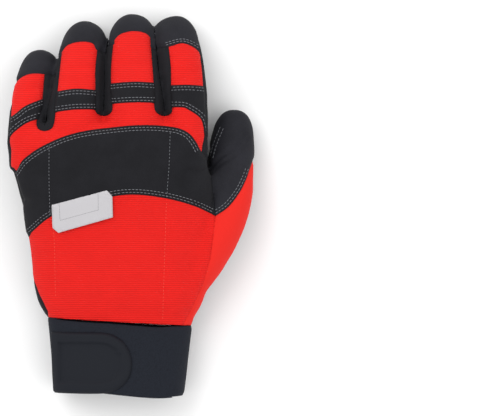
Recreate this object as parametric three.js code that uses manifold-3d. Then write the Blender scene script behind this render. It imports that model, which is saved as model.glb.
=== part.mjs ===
// Left-hand work glove lying palm down: +Y points to the fingertips, +X to the thumb, +Z up.
// While it is drawn, y = 0 is the wrist seam, x = 0 the middle finger's line and z = 0 the floor.
import * as THREE from 'three';
import { mergeVertices } from 'three/addons/utils/BufferGeometryUtils.js';
import Module from 'manifold-3d';

const wasm = await Module();
wasm.setup();

// Driving dimensions, in millimetres
const HAND_LENGTH = 170; // wrist seam to the tip of the middle finger
const PALM_WIDTH = 110; // across the knuckles
const HAND_HEIGHT = 56; // floor to the top of the arched knuckles
const CUFF_LENGTH = 41.5; // wrist seam to the cuff's mouth
const CUFF_TAPER = 4.3; // what the cuff loses on each side down to its mouth
const CUFF_SHIFT = 0.9; // what its middle moves away from the thumb on the way
const CUFF_HEIGHT = 34; // floor to the top of the cuff
const WALL = 1.5; // knit or leather with its lining
const CUFF_WALL = 2.5; // foam-backed cuff
const CAP_RISE = 0.4; // how far the fingertip caps stand proud of the knit
const PATCH = 1.2; // leather sewn on the palm and over the knuckles
const PAD = 1.6; // quilted pad on the back of the hand
const LABEL = 0.9; // folded label
const STRAP = 1.6; // closing strap
const STRAP_SINK = 0.5; // depth of the strap's sunk panel
const STRAP_BORDER = 4.6; // raised band round that panel
const GAP = 0.3; // left between neighbouring pieces
const CREASE = 1.2; // between neighbouring fingers
const SEAM_SLOPE = -0.056; // wrist seam, in y for each x
const MOUTH_SLOPE = -0.037; // cuff's mouth, in y for each x
const REACH = 2 * HAND_LENGTH; // longer than anything here

const FLOOR = PATCH + GAP; // height of the leather above the floor the patches lie on
const OVER = GAP; // underside of a patch above the surface it is sewn to

// Palm, from inside the cuff to between the fingers. along: share of HAND_LENGTH;
// left, right: shares of PALM_WIDTH; under, top: shares of HAND_HEIGHT
const PALM_ROWS = [
  { along: -0.082, left: -0.41, right: 0.315, under: -0.045, top: 0.589 },
  { along: 0, left: -0.414, right: 0.32, under: -0.045, top: 0.616 },
  { along: 0.053, left: -0.455, right: 0.365, under: -0.045, top: 0.688 },
  { along: 0.118, left: -0.483, right: 0.395, under: -0.045, top: 0.759 },
  { along: 0.2, left: -0.494, right: 0.407, under: -0.027, top: 0.821 },
  { along: 0.335, left: -0.515, right: 0.427, under: 0.054, top: 0.893 },
  { along: 0.447, left: -0.555, right: 0.407, under: 0.161, top: 0.955 },
  { along: 0.553, left: -0.598, right: 0.376, under: 0.241, top: 0.991 },
  { along: 0.6, left: -0.59, right: 0.372, under: 0.29, top: 0.96 },
  { along: 0.635, left: -0.56, right: 0.34, under: 0.4, top: 0.85 },
];

// Fingers and thumb, from inside the palm to the tip. along: share of HAND_LENGTH;
// across, wide (half width): shares of PALM_WIDTH; high, deep (half height): shares of HAND_HEIGHT
const DIGIT_ROWS = {
  pinky: [
    { along: 0.494, across: -0.493, high: 0.616, wide: 0.103, deep: 0.259 },
    { along: 0.588, across: -0.502, high: 0.594, wide: 0.1, deep: 0.272 },
    { along: 0.665, across: -0.495, high: 0.538, wide: 0.1, deep: 0.244 },
    { along: 0.735, across: -0.479, high: 0.428, wide: 0.102, deep: 0.221 },
    { along: 0.794, across: -0.462, high: 0.298, wide: 0.099, deep: 0.205 },
    { along: 0.831, across: -0.444, high: 0.183, wide: 0.087, deep: 0.188 },
    { along: 0.854, across: -0.427, high: 0.125, wide: 0.051, deep: 0.114 },
    { along: 0.862, across: -0.418, high: 0.104, wide: 0, deep: 0 },
  ],
  ring: [
    { along: 0.494, across: -0.268, high: 0.656, wide: 0.141, deep: 0.299 },
    { along: 0.588, across: -0.269, high: 0.652, wide: 0.149, deep: 0.312 },
    { along: 0.665, across: -0.264, high: 0.614, wide: 0.145, deep: 0.284 },
    { along: 0.753, across: -0.253, high: 0.511, wide: 0.133, deep: 0.25 },
    { along: 0.841, across: -0.242, high: 0.362, wide: 0.119, deep: 0.22 },
    { along: 0.909, across: -0.225, high: 0.212, wide: 0.105, deep: 0.209 },
    { along: 0.947, across: -0.209, high: 0.125, wide: 0.064, deep: 0.125 },
    { along: 0.962, across: -0.2, high: 0.093, wide: 0, deep: 0 },
  ],
  middle: [
    { along: 0.494, across: 0.03, high: 0.661, wide: 0.15, deep: 0.304 },
    { along: 0.588, across: 0.03, high: 0.67, wide: 0.156, deep: 0.312 },
    { along: 0.665, across: 0.03, high: 0.637, wide: 0.154, deep: 0.283 },
    { along: 0.753, across: 0.023, high: 0.536, wide: 0.141, deep: 0.254 },
    { along: 0.853, across: 0.011, high: 0.375, wide: 0.126, deep: 0.225 },
    { along: 0.929, across: 0.016, high: 0.218, wide: 0.111, deep: 0.211 },
    { along: 0.973, across: 0.024, high: 0.125, wide: 0.065, deep: 0.125 },
    { along: 0.989, across: 0.027, high: 0.093, wide: 0, deep: 0 },
  ],
  index: [
    { along: 0.494, across: 0.275, high: 0.629, wide: 0.116, deep: 0.272 },
    { along: 0.588, across: 0.279, high: 0.621, wide: 0.115, deep: 0.281 },
    { along: 0.665, across: 0.283, high: 0.583, wide: 0.11, deep: 0.256 },
    { along: 0.753, across: 0.271, high: 0.496, wide: 0.115, deep: 0.235 },
    { along: 0.847, across: 0.249, high: 0.365, wide: 0.117, deep: 0.224 },
    { along: 0.918, across: 0.225, high: 0.22, wide: 0.112, deep: 0.209 },
    { along: 0.964, across: 0.205, high: 0.131, wide: 0.078, deep: 0.131 },
    { along: 0.985, across: 0.195, high: 0.096, wide: 0, deep: 0 },
  ],
  thumb: [
    { along: 0.047, across: 0.182, high: 0.339, wide: 0.118, deep: 0.232 },
    { along: 0.176, across: 0.305, high: 0.375, wide: 0.145, deep: 0.295 },
    { along: 0.294, across: 0.414, high: 0.384, wide: 0.148, deep: 0.295 },
    { along: 0.4, across: 0.478, high: 0.348, wide: 0.138, deep: 0.268 },
    { along: 0.494, across: 0.504, high: 0.276, wide: 0.121, deep: 0.242 },
    { along: 0.588, across: 0.52, high: 0.216, wide: 0.105, deep: 0.214 },
    { along: 0.641, across: 0.527, high: 0.175, wide: 0.084, deep: 0.182 },
    { along: 0.668, across: 0.529, high: 0.143, wide: 0.049, deep: 0.107 },
    { along: 0.676, across: 0.529, high: 0.13, wide: 0, deep: 0 },
  ],
};
const FINGERS = ['pinky', 'ring', 'middle', 'index'];

// Web of leather from the palm across to the thumb, in the same shares
const THUMB_WEB = [
  { along: 0.36, across: 0.2, high: 0.5, wide: 0.1, deep: 0.2 },
  { along: 0.4, across: 0.3, high: 0.49, wide: 0.11, deep: 0.2 },
  { along: 0.425, across: 0.39, high: 0.44, wide: 0.105, deep: 0.18 },
  { along: 0.43, across: 0.45, high: 0.37, wide: 0.1, deep: 0.17 },
  { along: 0.42, across: 0.5, high: 0.33, wide: 0.07, deep: 0.12 },
];

// Creases between the fingers, seen from above, and the gusset sewn round each one: three rows
// that round its end at the web, then on to the tips. along: share of HAND_LENGTH; across, left,
// right (what the gusset shows on each side of the crease): shares of PALM_WIDTH
const CREASES = {
  pinky_ring: [
    { along: 0.612, across: -0.413, left: 0, right: 0 },
    { along: 0.62, across: -0.413, left: 0.033, right: 0.033 },
    { along: 0.641, across: -0.411, left: 0.043, right: 0.043 },
    { along: 0.694, across: -0.396, left: 0.033, right: 0.035 },
    { along: 0.8, across: -0.366, left: 0.055, right: 0.016 },
    { along: 1.05, across: -0.34, left: 0.055, right: 0.014 },
  ],
  ring_middle: [
    { along: 0.66, across: -0.121, left: 0, right: 0 },
    { along: 0.668, across: -0.121, left: 0.029, right: 0.029 },
    { along: 0.688, across: -0.121, left: 0.041, right: 0.041 },
    { along: 0.753, across: -0.121, left: 0.04, right: 0.031 },
    { along: 0.847, across: -0.121, left: 0.04, right: 0.031 },
    { along: 1.05, across: -0.085, left: 0.036, right: 0.027 },
  ],
  middle_index: [
    { along: 0.66, across: 0.182, left: 0, right: 0 },
    { along: 0.668, across: 0.18, left: 0.029, right: 0.029 },
    { along: 0.688, across: 0.175, left: 0.041, right: 0.041 },
    { along: 0.753, across: 0.162, left: 0.031, right: 0.049 },
    { along: 0.847, across: 0.143, left: 0.024, right: 0.062 },
    { along: 1.05, across: 0.105, left: 0.018, right: 0.055 },
  ],
};
const GUSSET_END_ROWS = 3;
const WEB_AHEAD = 0.015; // web ahead of a gusset's point, share of HAND_LENGTH

// Side seam between the leather below and the knit above. along: share of HAND_LENGTH;
// high: share of HAND_HEIGHT
const PALM_SEAM = [
  { along: -0.5, high: 0.27 },
  { along: 0, high: 0.27 },
  { along: 0.118, high: 0.33 },
  { along: 0.335, high: 0.43 },
  { along: 0.553, high: 0.57 },
  { along: 0.69, high: 0.545 },
];
const SEAM_DROP = 0.1; // seam below a digit's middle line, share of its half height
const THUMB_SEAM_DROP = 0.25;
const SHARED_SEAM = 0.69; // the fingers' seams leave the palm's from here, share of HAND_LENGTH

// Where each finger's own panels are sewn to the hand, under the bands, share of HAND_LENGTH
const FINGER_BASE = { pinky: 0.66, ring: 0.705, middle: 0.73, index: 0.715 };
// Edge of the fingertip caps on the back of the fingers, from left to right. along: share of
// HAND_LENGTH; across: share of PALM_WIDTH
const CAP_EDGE = {
  pinky: [
    { along: 0.773, across: -0.577 },
    { along: 0.792, across: -0.553 },
    { along: 0.802, across: -0.486 },
    { along: 0.8, across: -0.427 },
  ],
  ring: [
    { along: 0.85, across: -0.364 },
    { along: 0.874, across: -0.341 },
    { along: 0.895, across: -0.309 },
    { along: 0.906, across: -0.243 },
    { along: 0.9, across: -0.182 },
    { along: 0.876, across: -0.155 },
  ],
  middle: [
    { along: 0.894, across: -0.089 },
    { along: 0.912, across: -0.076 },
    { along: 0.931, across: -0.045 },
    { along: 0.941, across: 0.016 },
    { along: 0.935, across: 0.078 },
    { along: 0.918, across: 0.109 },
    { along: 0.882, across: 0.12 },
  ],
  index: [
    { along: 0.887, across: 0.186 },
    { along: 0.9, across: 0.26 },
    { along: 0.892, across: 0.31 },
    { along: 0.874, across: 0.352 },
    { along: 0.844, across: 0.378 },
  ],
};

// Seam between the back of the hand and the thumb, from the cuff up past the crotch.
// along: share of HAND_LENGTH; across: share of PALM_WIDTH
const THUMB_LINE = [
  { along: -0.2, across: 0.25 },
  { along: -0.008, across: 0.28 },
  { along: 0.053, across: 0.33 },
  { along: 0.118, across: 0.375 },
  { along: 0.198, across: 0.41 },
  { along: 0.338, across: 0.434 },
  { along: 0.438, across: 0.418 },
  { along: 0.52, across: 0.392 },
  { along: 0.61, across: 0.4 },
  { along: 0.66, across: 0.408 },
  { along: 0.9, across: 0.47 },
];
// Lower edge of the leather that wraps the thumb, from that seam to the thumb's outer side
const THUMB_CAP_LINE = [
  { along: 0.338, across: 0.434 },
  { along: 0.418, across: 0.524 },
  { along: 0.66, across: 0.8 },
];

// Outlines of the sewn-on pieces, seen from above. along: share of HAND_LENGTH;
// across: share of PALM_WIDTH
const BAND_OUTLINES = {
  pinky: [
    { along: 0.728, across: -0.443 },
    { along: 0.659, across: -0.467 },
    { along: 0.646, across: -0.503 },
    { along: 0.624, across: -0.563 },
    { along: 0.575, across: -0.7 },
    { along: 0.659, across: -0.7 },
    { along: 0.676, across: -0.583 },
    { along: 0.705, across: -0.513 },
  ],
  ring: [
    { along: 0.741, across: -0.345 },
    { along: 0.747, across: -0.261 },
    { along: 0.747, across: -0.178 },
    { along: 0.685, across: -0.192 },
    { along: 0.679, across: -0.261 },
    { along: 0.672, across: -0.345 },
  ],
  middle: [
    { along: 0.767, across: -0.07 },
    { along: 0.77, across: 0.03 },
    { along: 0.77, across: 0.113 },
    { along: 0.702, across: 0.1 },
    { along: 0.702, across: 0.03 },
    { along: 0.699, across: -0.055 },
  ],
  index: [
    { along: 0.767, across: 0.227 },
    { along: 0.764, across: 0.302 },
    { along: 0.748, across: 0.47 },
    { along: 0.6, across: 0.47 },
    { along: 0.643, across: 0.377 },
    { along: 0.672, across: 0.332 },
    { along: 0.685, across: 0.25 },
  ],
};
const PAD_OUTLINE = [
  { along: 0.477, across: -0.7 },
  { along: 0.477, across: -0.573 },
  { along: 0.523, across: -0.513 },
  { along: 0.568, across: -0.402 },
  { along: 0.605, across: -0.251 },
  { along: 0.62, across: -0.05 },
  { along: 0.624, across: 0.101 },
  { along: 0.614, across: 0.226 },
  { along: 0.594, across: 0.309 },
  { along: 0.565, across: 0.351 },
  { along: 0.533, across: 0.376 },
  { along: 0.494, across: 0.427 },
  { along: 0.424, across: 0.455 },
  { along: 0.329, across: 0.464 },
  { along: 0.345, across: 0.413 },
  { along: 0.37, across: 0.327 },
  { along: 0.393, across: 0.201 },
  { along: 0.406, across: 0.05 },
  { along: 0.4, across: -0.075 },
  { along: 0.373, across: -0.226 },
  { along: 0.337, across: -0.377 },
  { along: 0.289, across: -0.478 },
  { along: 0.266, across: -0.503 },
  { along: 0.25, across: -0.7 },
];
const LABEL_OUTLINE = [
  { along: 0.376, across: -0.372 },
  { along: 0.422, across: -0.101 },
  { along: 0.402, across: -0.075 },
  { along: 0.335, across: -0.073 },
  { along: 0.285, across: -0.342 },
  { along: 0.302, across: -0.367 },
];
const UPPER_PATCH_OUTLINE = [
  { along: 0.508, across: -0.377 },
  { along: 0.614, across: -0.352 },
  { along: 0.72, across: -0.3 },
  { along: 0.765, across: -0.246 },
  { along: 0.745, across: -0.2 },
  { along: 0.69, across: -0.175 },
  { along: 0.612, across: -0.148 },
  { along: 0.612, across: -0.088 },
  { along: 0.69, across: -0.06 },
  { along: 0.765, across: -0.015 },
  { along: 0.765, across: 0.05 },
  { along: 0.68, across: 0.1 },
  { along: 0.61, across: 0.135 },
  { along: 0.61, across: 0.2 },
  { along: 0.686, across: 0.245 },
  { along: 0.746, across: 0.296 },
  { along: 0.72, across: 0.34 },
  { along: 0.607, across: 0.34 },
  { along: 0.515, across: 0.3 },
  { along: 0.51, across: 0.219 },
  { along: 0.525, across: 0.07 },
  { along: 0.525, across: -0.061 },
];
const LOWER_PATCH_OUTLINE = [
  { along: 0.479, across: -0.38 },
  { along: 0.472, across: -0.132 },
  { along: 0.445, across: -0.05 },
  { along: 0.39, across: -0.21 },
  { along: 0.316, across: -0.46 },
  { along: 0.255, across: -0.412 },
  { along: 0.287, across: -0.287 },
  { along: 0.376, across: -0.061 },
  { along: 0.433, across: 0.15 },
  { along: 0.397, across: 0.153 },
  { along: 0.351, across: 0.052 },
  { along: 0.209, across: -0.144 },
  { along: 0.173, across: -0.085 },
  { along: 0.195, across: 0.005 },
  { along: 0.301, across: 0.219 },
  { along: 0.39, across: 0.37 },
  { along: 0.48, across: 0.46 },
  { along: 0.56, across: 0.5 },
  { along: 0.56, across: 0.55 },
  { along: 0.45, across: 0.56 },
  { along: 0.369, across: 0.54 },
  { along: 0.27, across: 0.47 },
  { along: 0.16, across: 0.35 },
  { along: 0.08, across: 0.22 },
  { along: 0.038, across: 0.05 },
  { along: 0.035, across: -0.156 },
  { along: 0.045, across: -0.37 },
  { along: 0.09, across: -0.44 },
  { along: 0.2, across: -0.46 },
  { along: 0.33, across: -0.5 },
  { along: 0.43, across: -0.5 },
];
// Upper edge of the patches under three fingertips, share of HAND_LENGTH
const TIP_PATCH_EDGE = { pinky: 0.8, ring: 0.886, middle: 0.9 };
const TIP_PATCH_INSET = 0.022; // that patch's sides inside the finger's, share of PALM_WIDTH

// Rings of the cuff from above the wrist seam to past the mouth, shares of CUFF_LENGTH
const CUFF_SHARES = [-0.3, 0, 0.5, 1, 1.3];

// Strap on the cuff's back. along: share of CUFF_LENGTH below the wrist seam;
// across: share of PALM_WIDTH
const STRAP_OUTLINE = [
  { along: -0.159, across: -0.6 },
  { along: -0.164, across: -0.127 },
  { along: -0.207, across: -0.068 },
  { along: -0.304, across: -0.02 },
  { along: -0.443, across: 0.008 },
  { along: -0.602, across: 0.016 },
  { along: -0.757, across: 0.003 },
  { along: -0.887, across: -0.038 },
  { along: -0.954, across: -0.091 },
  { along: -0.976, across: -0.164 },
  { along: -0.971, across: -0.6 },
];
const STRAP_MIDDLE = { along: -0.57, across: -0.22 };
const STRAP_HALF = { along: 0.41, across: 0.24 };

const ROUND_PALM = 2.5; // superellipse powers of the sections
const ROUND_DIGIT = 2.25;
const SLOT_SIDES = 12;
const PALM_SIDES = 28;
const DIGIT_SIDES = 12;
const PALM_RINGS = 11;
const DIGIT_RINGS = 8;
const CUFF_RINGS = 8;
const TIP_CONE = 0.2; // a loft's end point ahead of its last ring, in millimetres
const LEAST_RADIUS = 0.05;

const MATERIALS = {
  red_knit: { color: 0xf5302a, roughness: 0.85 },
  black_leather: { color: 0x26262a, roughness: 0.7 },
  tip_leather: { color: 0x303034, roughness: 0.65 },
  cuff_foam: { color: 0x23262f, roughness: 0.75 },
  strap_rubber: { color: 0x20232b, roughness: 0.6 },
  label_woven: { color: 0xd0cfd2, roughness: 0.8 },
};

// A closed geometry as a manifold solid, with vertices closer than tolerance merged
function solid(geometry, tolerance = 1e-5) {
  const bare = new THREE.BufferGeometry();
  bare.setAttribute('position', geometry.getAttribute('position'));
  if (geometry.index) {
    bare.setIndex(geometry.index);
  }
  const merged = mergeVertices(bare, tolerance);
  return new wasm.Manifold(new wasm.Mesh({
    numProp: 3,
    vertProperties: new Float32Array(merged.getAttribute('position').array),
    triVerts: new Uint32Array(merged.index.array),
  }));
}

const joined = (solids) => solids.reduce((sum, next) => sum.add(next));
const power = (value, exponent) => Math.sign(value) * Math.abs(value) ** exponent;
const place = (row) => new THREE.Vector2(row.across * PALM_WIDTH, row.along * HAND_LENGTH);

// A sphere's rings drawn out to superellipse sections along a smooth centre line, with
// every surface moved outward by grow
function loft(centres, halves, sides, rings, roundness, upright, grow) {
  const centreLine = new THREE.CatmullRomCurve3(centres, false, 'catmullrom');
  const halfLine = new THREE.CatmullRomCurve3(halves, false, 'catmullrom');
  const frames = [];
  let run = 0;
  for (let i = 0; i <= rings; i += 1) {
    const share = i / rings;
    const centre = centreLine.getPoint(share);
    const half = halfLine.getPoint(share);
    const ahead = upright ? new THREE.Vector3(0, 1, 0) : centreLine.getTangent(share);
    run += i > 0 ? centre.distanceTo(frames[i - 1].centre) : 0;
    frames.push({ centre, ahead, run, wide: Math.max(half.x, 0), deep: Math.max(half.y, 0) });
  }
  frames.forEach((frame, i) => {
    const before = frames[Math.max(i - 1, 0)];
    const after = frames[Math.min(i + 1, rings)];
    const slope = (after.wide + after.deep - before.wide - before.deep) / 2
      / Math.max(after.run - before.run, 1e-6);
    const closing = i === rings && frame.wide < 1;
    frame.out = closing ? 0 : 1 / Math.hypot(1, slope);
    frame.on = closing ? 1 : -slope / Math.hypot(1, slope);
  });
  const geometry = new THREE.SphereGeometry(1, sides, rings + 2);
  const position = geometry.getAttribute('position');
  const point = new THREE.Vector3();
  for (let i = 0; i < position.count; i += 1) {
    const ring = Math.floor(i / (sides + 1));
    const turn = ((i % (sides + 1)) % sides) * 2 * Math.PI / sides;
    const frame = frames[THREE.MathUtils.clamp(ring - 1, 0, rings)];
    const pole = ring === 0 || ring === rings + 2;
    const side = new THREE.Vector3(frame.ahead.y, -frame.ahead.x, 0).normalize();
    const up = new THREE.Vector3().crossVectors(side, frame.ahead);
    const wide = pole ? 0 : Math.max(frame.wide + grow * frame.out, LEAST_RADIUS);
    const deep = pole ? 0 : Math.max(frame.deep + grow * frame.out, LEAST_RADIUS);
    let on = grow * frame.on;
    if (pole) {
      on += ring === 0 ? -TIP_CONE : TIP_CONE;
    }
    point.copy(frame.centre)
      .addScaledVector(frame.ahead, on)
      .addScaledVector(side, wide * power(Math.cos(turn), 2 / roundness))
      .addScaledVector(up, deep * power(Math.sin(turn), 2 / roundness));
    position.setXYZ(i, point.x, point.y, point.z);
  }
  return solid(geometry);
}

function palmLoft(grow) {
  const centres = PALM_ROWS.map((row) => new THREE.Vector3(
    (row.left + row.right) / 2 * PALM_WIDTH,
    row.along * HAND_LENGTH,
    (row.under + row.top) / 2 * HAND_HEIGHT,
  ));
  const halves = PALM_ROWS.map((row) => new THREE.Vector3(
    (row.right - row.left) / 2 * PALM_WIDTH,
    (row.top - row.under) / 2 * HAND_HEIGHT,
    0,
  ));
  return loft(centres, halves, PALM_SIDES, PALM_RINGS, ROUND_PALM, true, grow);
}

function digitLoft(rows, grow) {
  const centres = rows.map((row) => new THREE.Vector3(
    row.across * PALM_WIDTH,
    row.along * HAND_LENGTH,
    row.high * HAND_HEIGHT,
  ));
  const halves = rows.map((row) => new THREE.Vector3(
    row.wide * PALM_WIDTH,
    row.deep * HAND_HEIGHT,
    0,
  ));
  return loft(centres, halves, DIGIT_SIDES, DIGIT_RINGS, ROUND_DIGIT, false, grow);
}

// Everything inside an outline seen from above
function prism(points) {
  const shape = new THREE.Shape(points);
  const geometry = new THREE.ExtrudeGeometry(shape, { depth: REACH, bevelEnabled: false });
  geometry.translate(0, 0, -REACH / 2);
  return solid(geometry);
}

// Everything between two heights given along the glove: a profile in y and z, run across it
function profilePrism(points) {
  const shape = new THREE.Shape(points);
  const geometry = new THREE.ExtrudeGeometry(shape, { depth: REACH, bevelEnabled: false });
  geometry.translate(0, 0, -REACH / 2);
  geometry.applyMatrix4(new THREE.Matrix4().makeBasis(
    new THREE.Vector3(0, 1, 0),
    new THREE.Vector3(0, 0, 1),
    new THREE.Vector3(1, 0, 0),
  ));
  return solid(geometry);
}

// A strip of one width along a line seen from above
function strip(points, width) {
  const sides = points.map((point, i) => {
    const before = points[Math.max(i - 1, 0)];
    const after = points[Math.min(i + 1, points.length - 1)];
    const across = new THREE.Vector2().subVectors(after, before).normalize();
    return new THREE.Vector2(-across.y, across.x).multiplyScalar(width / 2);
  });
  const left = points.map((point, i) => point.clone().add(sides[i]));
  const right = points.map((point, i) => point.clone().sub(sides[i]));
  return prism([...left, ...right.reverse()]);
}

// Slots between the fingers, rounded at the web, that part the surface moved outward by grow
function creaseSlots(grow) {
  const half = CREASE / 2 - grow;
  return joined(Object.values(CREASES).map((rows) => {
    const web = place(rows[0]).add(new THREE.Vector2(0, WEB_AHEAD * HAND_LENGTH));
    const line = [web, ...rows.slice(GUSSET_END_ROWS).map(place)];
    const end = new THREE.CylinderGeometry(half, half, REACH, SLOT_SIDES);
    end.rotateX(Math.PI / 2);
    end.translate(web.x, web.y, 0);
    return strip(line, 2 * half).add(solid(end));
  }));
}

// The whole glove but its cuff, filled, with its surface moved outward by grow
function form(grow) {
  const lofts = [...Object.values(DIGIT_ROWS), THUMB_WEB].map((rows) => digitLoft(rows, grow));
  const aboveFloor = new THREE.BoxGeometry(REACH, REACH, REACH);
  aboveFloor.translate(0, 0, REACH / 2 + FLOOR - grow);
  const whole = joined([palmLoft(grow), ...lofts]).intersect(solid(aboveFloor));
  return grow < CREASE / 2 ? whole.subtract(creaseSlots(grow)) : whole;
}

const seamY = (x) => SEAM_SLOPE * (x - PALM_ROWS[1].left / 2 * PALM_WIDTH);
const mouthY = (x) => -CUFF_LENGTH + MOUTH_SLOPE * (x - PALM_ROWS[1].left / 2 * PALM_WIDTH);

function seamHeights(rows, drop) {
  return rows.map((row) => new THREE.Vector2(
    row.along * HAND_LENGTH,
    (row.high - drop * (row.deep ?? 0)) * HAND_HEIGHT,
  ));
}

// Profile of all that lies above (side 1) or below (side -1) a line of seam heights
function beside(line, side) {
  const first = line[0];
  const last = line[line.length - 1];
  const half = side * GAP / 2;
  return profilePrism([
    new THREE.Vector2(-REACH, side * REACH),
    new THREE.Vector2(-REACH, first.y + half),
    ...line.map((point) => new THREE.Vector2(point.x, point.y + half)),
    new THREE.Vector2(REACH, last.y + half),
    new THREE.Vector2(REACH, side * REACH),
  ]);
}

const palmSeam = seamHeights(PALM_SEAM, 0);
const digitSeam = {};
FINGERS.forEach((name) => {
  const rows = DIGIT_ROWS[name].filter((row) => row.along > SHARED_SEAM);
  digitSeam[name] = [...palmSeam, ...seamHeights(rows, SEAM_DROP)];
});
digitSeam.thumb = seamHeights(DIGIT_ROWS.thumb, THUMB_SEAM_DROP);

// Zones seen from above: one for each finger with the palm behind it, and the thumb's
const thumbLine = THUMB_LINE.map(place);
const creaseLine = (name) => {
  const line = CREASES[name].map(place);
  return [new THREE.Vector2(line[0].x, -REACH), ...line, new THREE.Vector2(line.at(-1).x, REACH)];
};
function zoneBetween(left, right) {
  return prism([...left, ...[...right].reverse()]);
}
const farLeft = [new THREE.Vector2(-REACH, -REACH), new THREE.Vector2(-REACH, REACH)];
const farRight = [new THREE.Vector2(REACH, -REACH), new THREE.Vector2(REACH, REACH)];
const thumbEdge = [
  new THREE.Vector2(thumbLine[0].x, -REACH),
  ...thumbLine,
  new THREE.Vector2(thumbLine.at(-1).x, REACH),
];
const zones = {
  pinky: zoneBetween(farLeft, creaseLine('pinky_ring')),
  ring: zoneBetween(creaseLine('pinky_ring'), creaseLine('ring_middle')),
  middle: zoneBetween(creaseLine('ring_middle'), creaseLine('middle_index')),
  index: zoneBetween(creaseLine('middle_index'), thumbEdge),
  thumb: zoneBetween(thumbEdge, farRight),
};
const thumbSeamGap = strip(thumbEdge, GAP);

const handZone = prism([
  new THREE.Vector2(-REACH, seamY(-REACH) + GAP / 2),
  new THREE.Vector2(REACH, seamY(REACH) + GAP / 2),
  new THREE.Vector2(REACH, REACH),
  new THREE.Vector2(-REACH, REACH),
]);
const above = {};
const below = {};
FINGERS.forEach((name) => {
  above[name] = zones[name].intersect(beside(digitSeam[name], 1));
  below[name] = zones[name].intersect(beside(digitSeam[name], -1));
});
const aboveSeam = joined(Object.values(above));
const belowSeam = joined(Object.values(below));
const aboveThumb = beside(digitSeam.thumb, 1);
const belowThumb = beside(digitSeam.thumb, -1);

const surface = form(0).intersect(handZone);
const hollow = form(-WALL);
const shell = surface.subtract(hollow);

// Everything ahead of (side 1) or behind (side -1) a line across, less half a seam's gap
function beyondLine(rows, side) {
  const line = rows.map((row) => place(row).add(new THREE.Vector2(0, side * GAP / 2)));
  return prism([
    new THREE.Vector2(-REACH, line[0].y),
    ...line,
    new THREE.Vector2(REACH, line.at(-1).y),
    new THREE.Vector2(REACH, side * REACH),
    new THREE.Vector2(-REACH, side * REACH),
  ]);
}
const beyond = (along, side) => beyondLine([{ along, across: 0 }], side);

// Outline of the gusset round a crease, widened by grow
function gussetPrism(name, grow) {
  const rows = CREASES[name];
  const tip = place(rows[0]).sub(new THREE.Vector2(0, grow));
  const left = rows.slice(1).map((row) => place(row).sub(
    new THREE.Vector2(row.left * PALM_WIDTH + grow, 0),
  ));
  const right = rows.slice(1).map((row) => place(row).add(
    new THREE.Vector2(row.right * PALM_WIDTH + grow, 0),
  ));
  return prism([tip, ...right, ...left.reverse()]);
}

const fingerZones = {};
FINGERS.forEach((name) => {
  fingerZones[name] = zones[name].intersect(beyond(FINGER_BASE[name], 1));
});
const handBacks = joined(FINGERS.map((name) => above[name].intersect(beyond(FINGER_BASE[name], -1))));
const handFronts = joined(FINGERS.map((name) => below[name].intersect(beyond(FINGER_BASE[name], -1))));
const notCaps = joined(FINGERS.map((name) => above[name].intersect(beyondLine(CAP_EDGE[name], -1))));
const gussets = joined(Object.keys(CREASES).map((name) => gussetPrism(name, GAP)));

const thumbCapLine = THUMB_CAP_LINE.map(place);
const thumbCapZone = prism([
  ...thumbCapLine,
  new THREE.Vector2(REACH, REACH),
  new THREE.Vector2(thumbLine.at(-1).x, REACH),
  ...thumbLine.filter((point) => point.y > thumbCapLine[0].y).reverse(),
]);
const thumbCapGap = strip(thumbCapLine, GAP);

// A sewn-on piece: one outline's share of a layer above the glove's surface
function layer(grow, thick) {
  return form(grow + thick).subtract(form(grow)).subtract(surface).intersect(handZone);
}
const patchLayer = layer(OVER, PATCH);
const padLayer = layer(OVER, PAD);
const labelLayer = palmLoft(OVER + PAD + GAP + LABEL).subtract(palmLoft(OVER + PAD + GAP));
const outlinePrism = (rows) => prism(rows.map(place));

// The patch under a fingertip: the finger's own plan, drawn in, beyond its edge
function tipPatchPrism(name) {
  const rows = DIGIT_ROWS[name].filter((row) => row.wide > 0);
  const inset = TIP_PATCH_INSET;
  const left = rows.map((row) => place({ ...row, across: row.across - row.wide + inset }));
  const right = rows.map((row) => place({ ...row, across: row.across + row.wide - inset }));
  return prism([...left, ...right.reverse()].reverse()).intersect(beyond(TIP_PATCH_EDGE[name], 1));
}

// Cuff: the wrist's section, drawn in evenly down to the mouth
function cuffLoft(grow) {
  const wrist = PALM_ROWS[1];
  const halfWidth = (wrist.right - wrist.left) / 2 * PALM_WIDTH;
  const middle = (wrist.right + wrist.left) / 2 * PALM_WIDTH;
  const under = wrist.under * HAND_HEIGHT;
  const centres = CUFF_SHARES.map((part) => new THREE.Vector3(
    middle - part * CUFF_SHIFT,
    -part * CUFF_LENGTH,
    (CUFF_HEIGHT + under) / 2,
  ));
  const halves = CUFF_SHARES.map((part) => new THREE.Vector3(
    halfWidth - part * CUFF_TAPER,
    (CUFF_HEIGHT - under) / 2,
    0,
  ));
  centres.reverse();
  halves.reverse();
  const aboveFloor = new THREE.BoxGeometry(REACH, REACH, REACH);
  aboveFloor.translate(0, 0, REACH / 2 - grow);
  return loft(centres, halves, PALM_SIDES, CUFF_RINGS, ROUND_PALM, true, grow).intersect(solid(aboveFloor));
}
const cuffZone = prism([
  new THREE.Vector2(-REACH, mouthY(-REACH)),
  new THREE.Vector2(REACH, mouthY(REACH)),
  new THREE.Vector2(REACH, seamY(REACH) - GAP / 2),
  new THREE.Vector2(-REACH, seamY(-REACH) - GAP / 2),
]);

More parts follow.
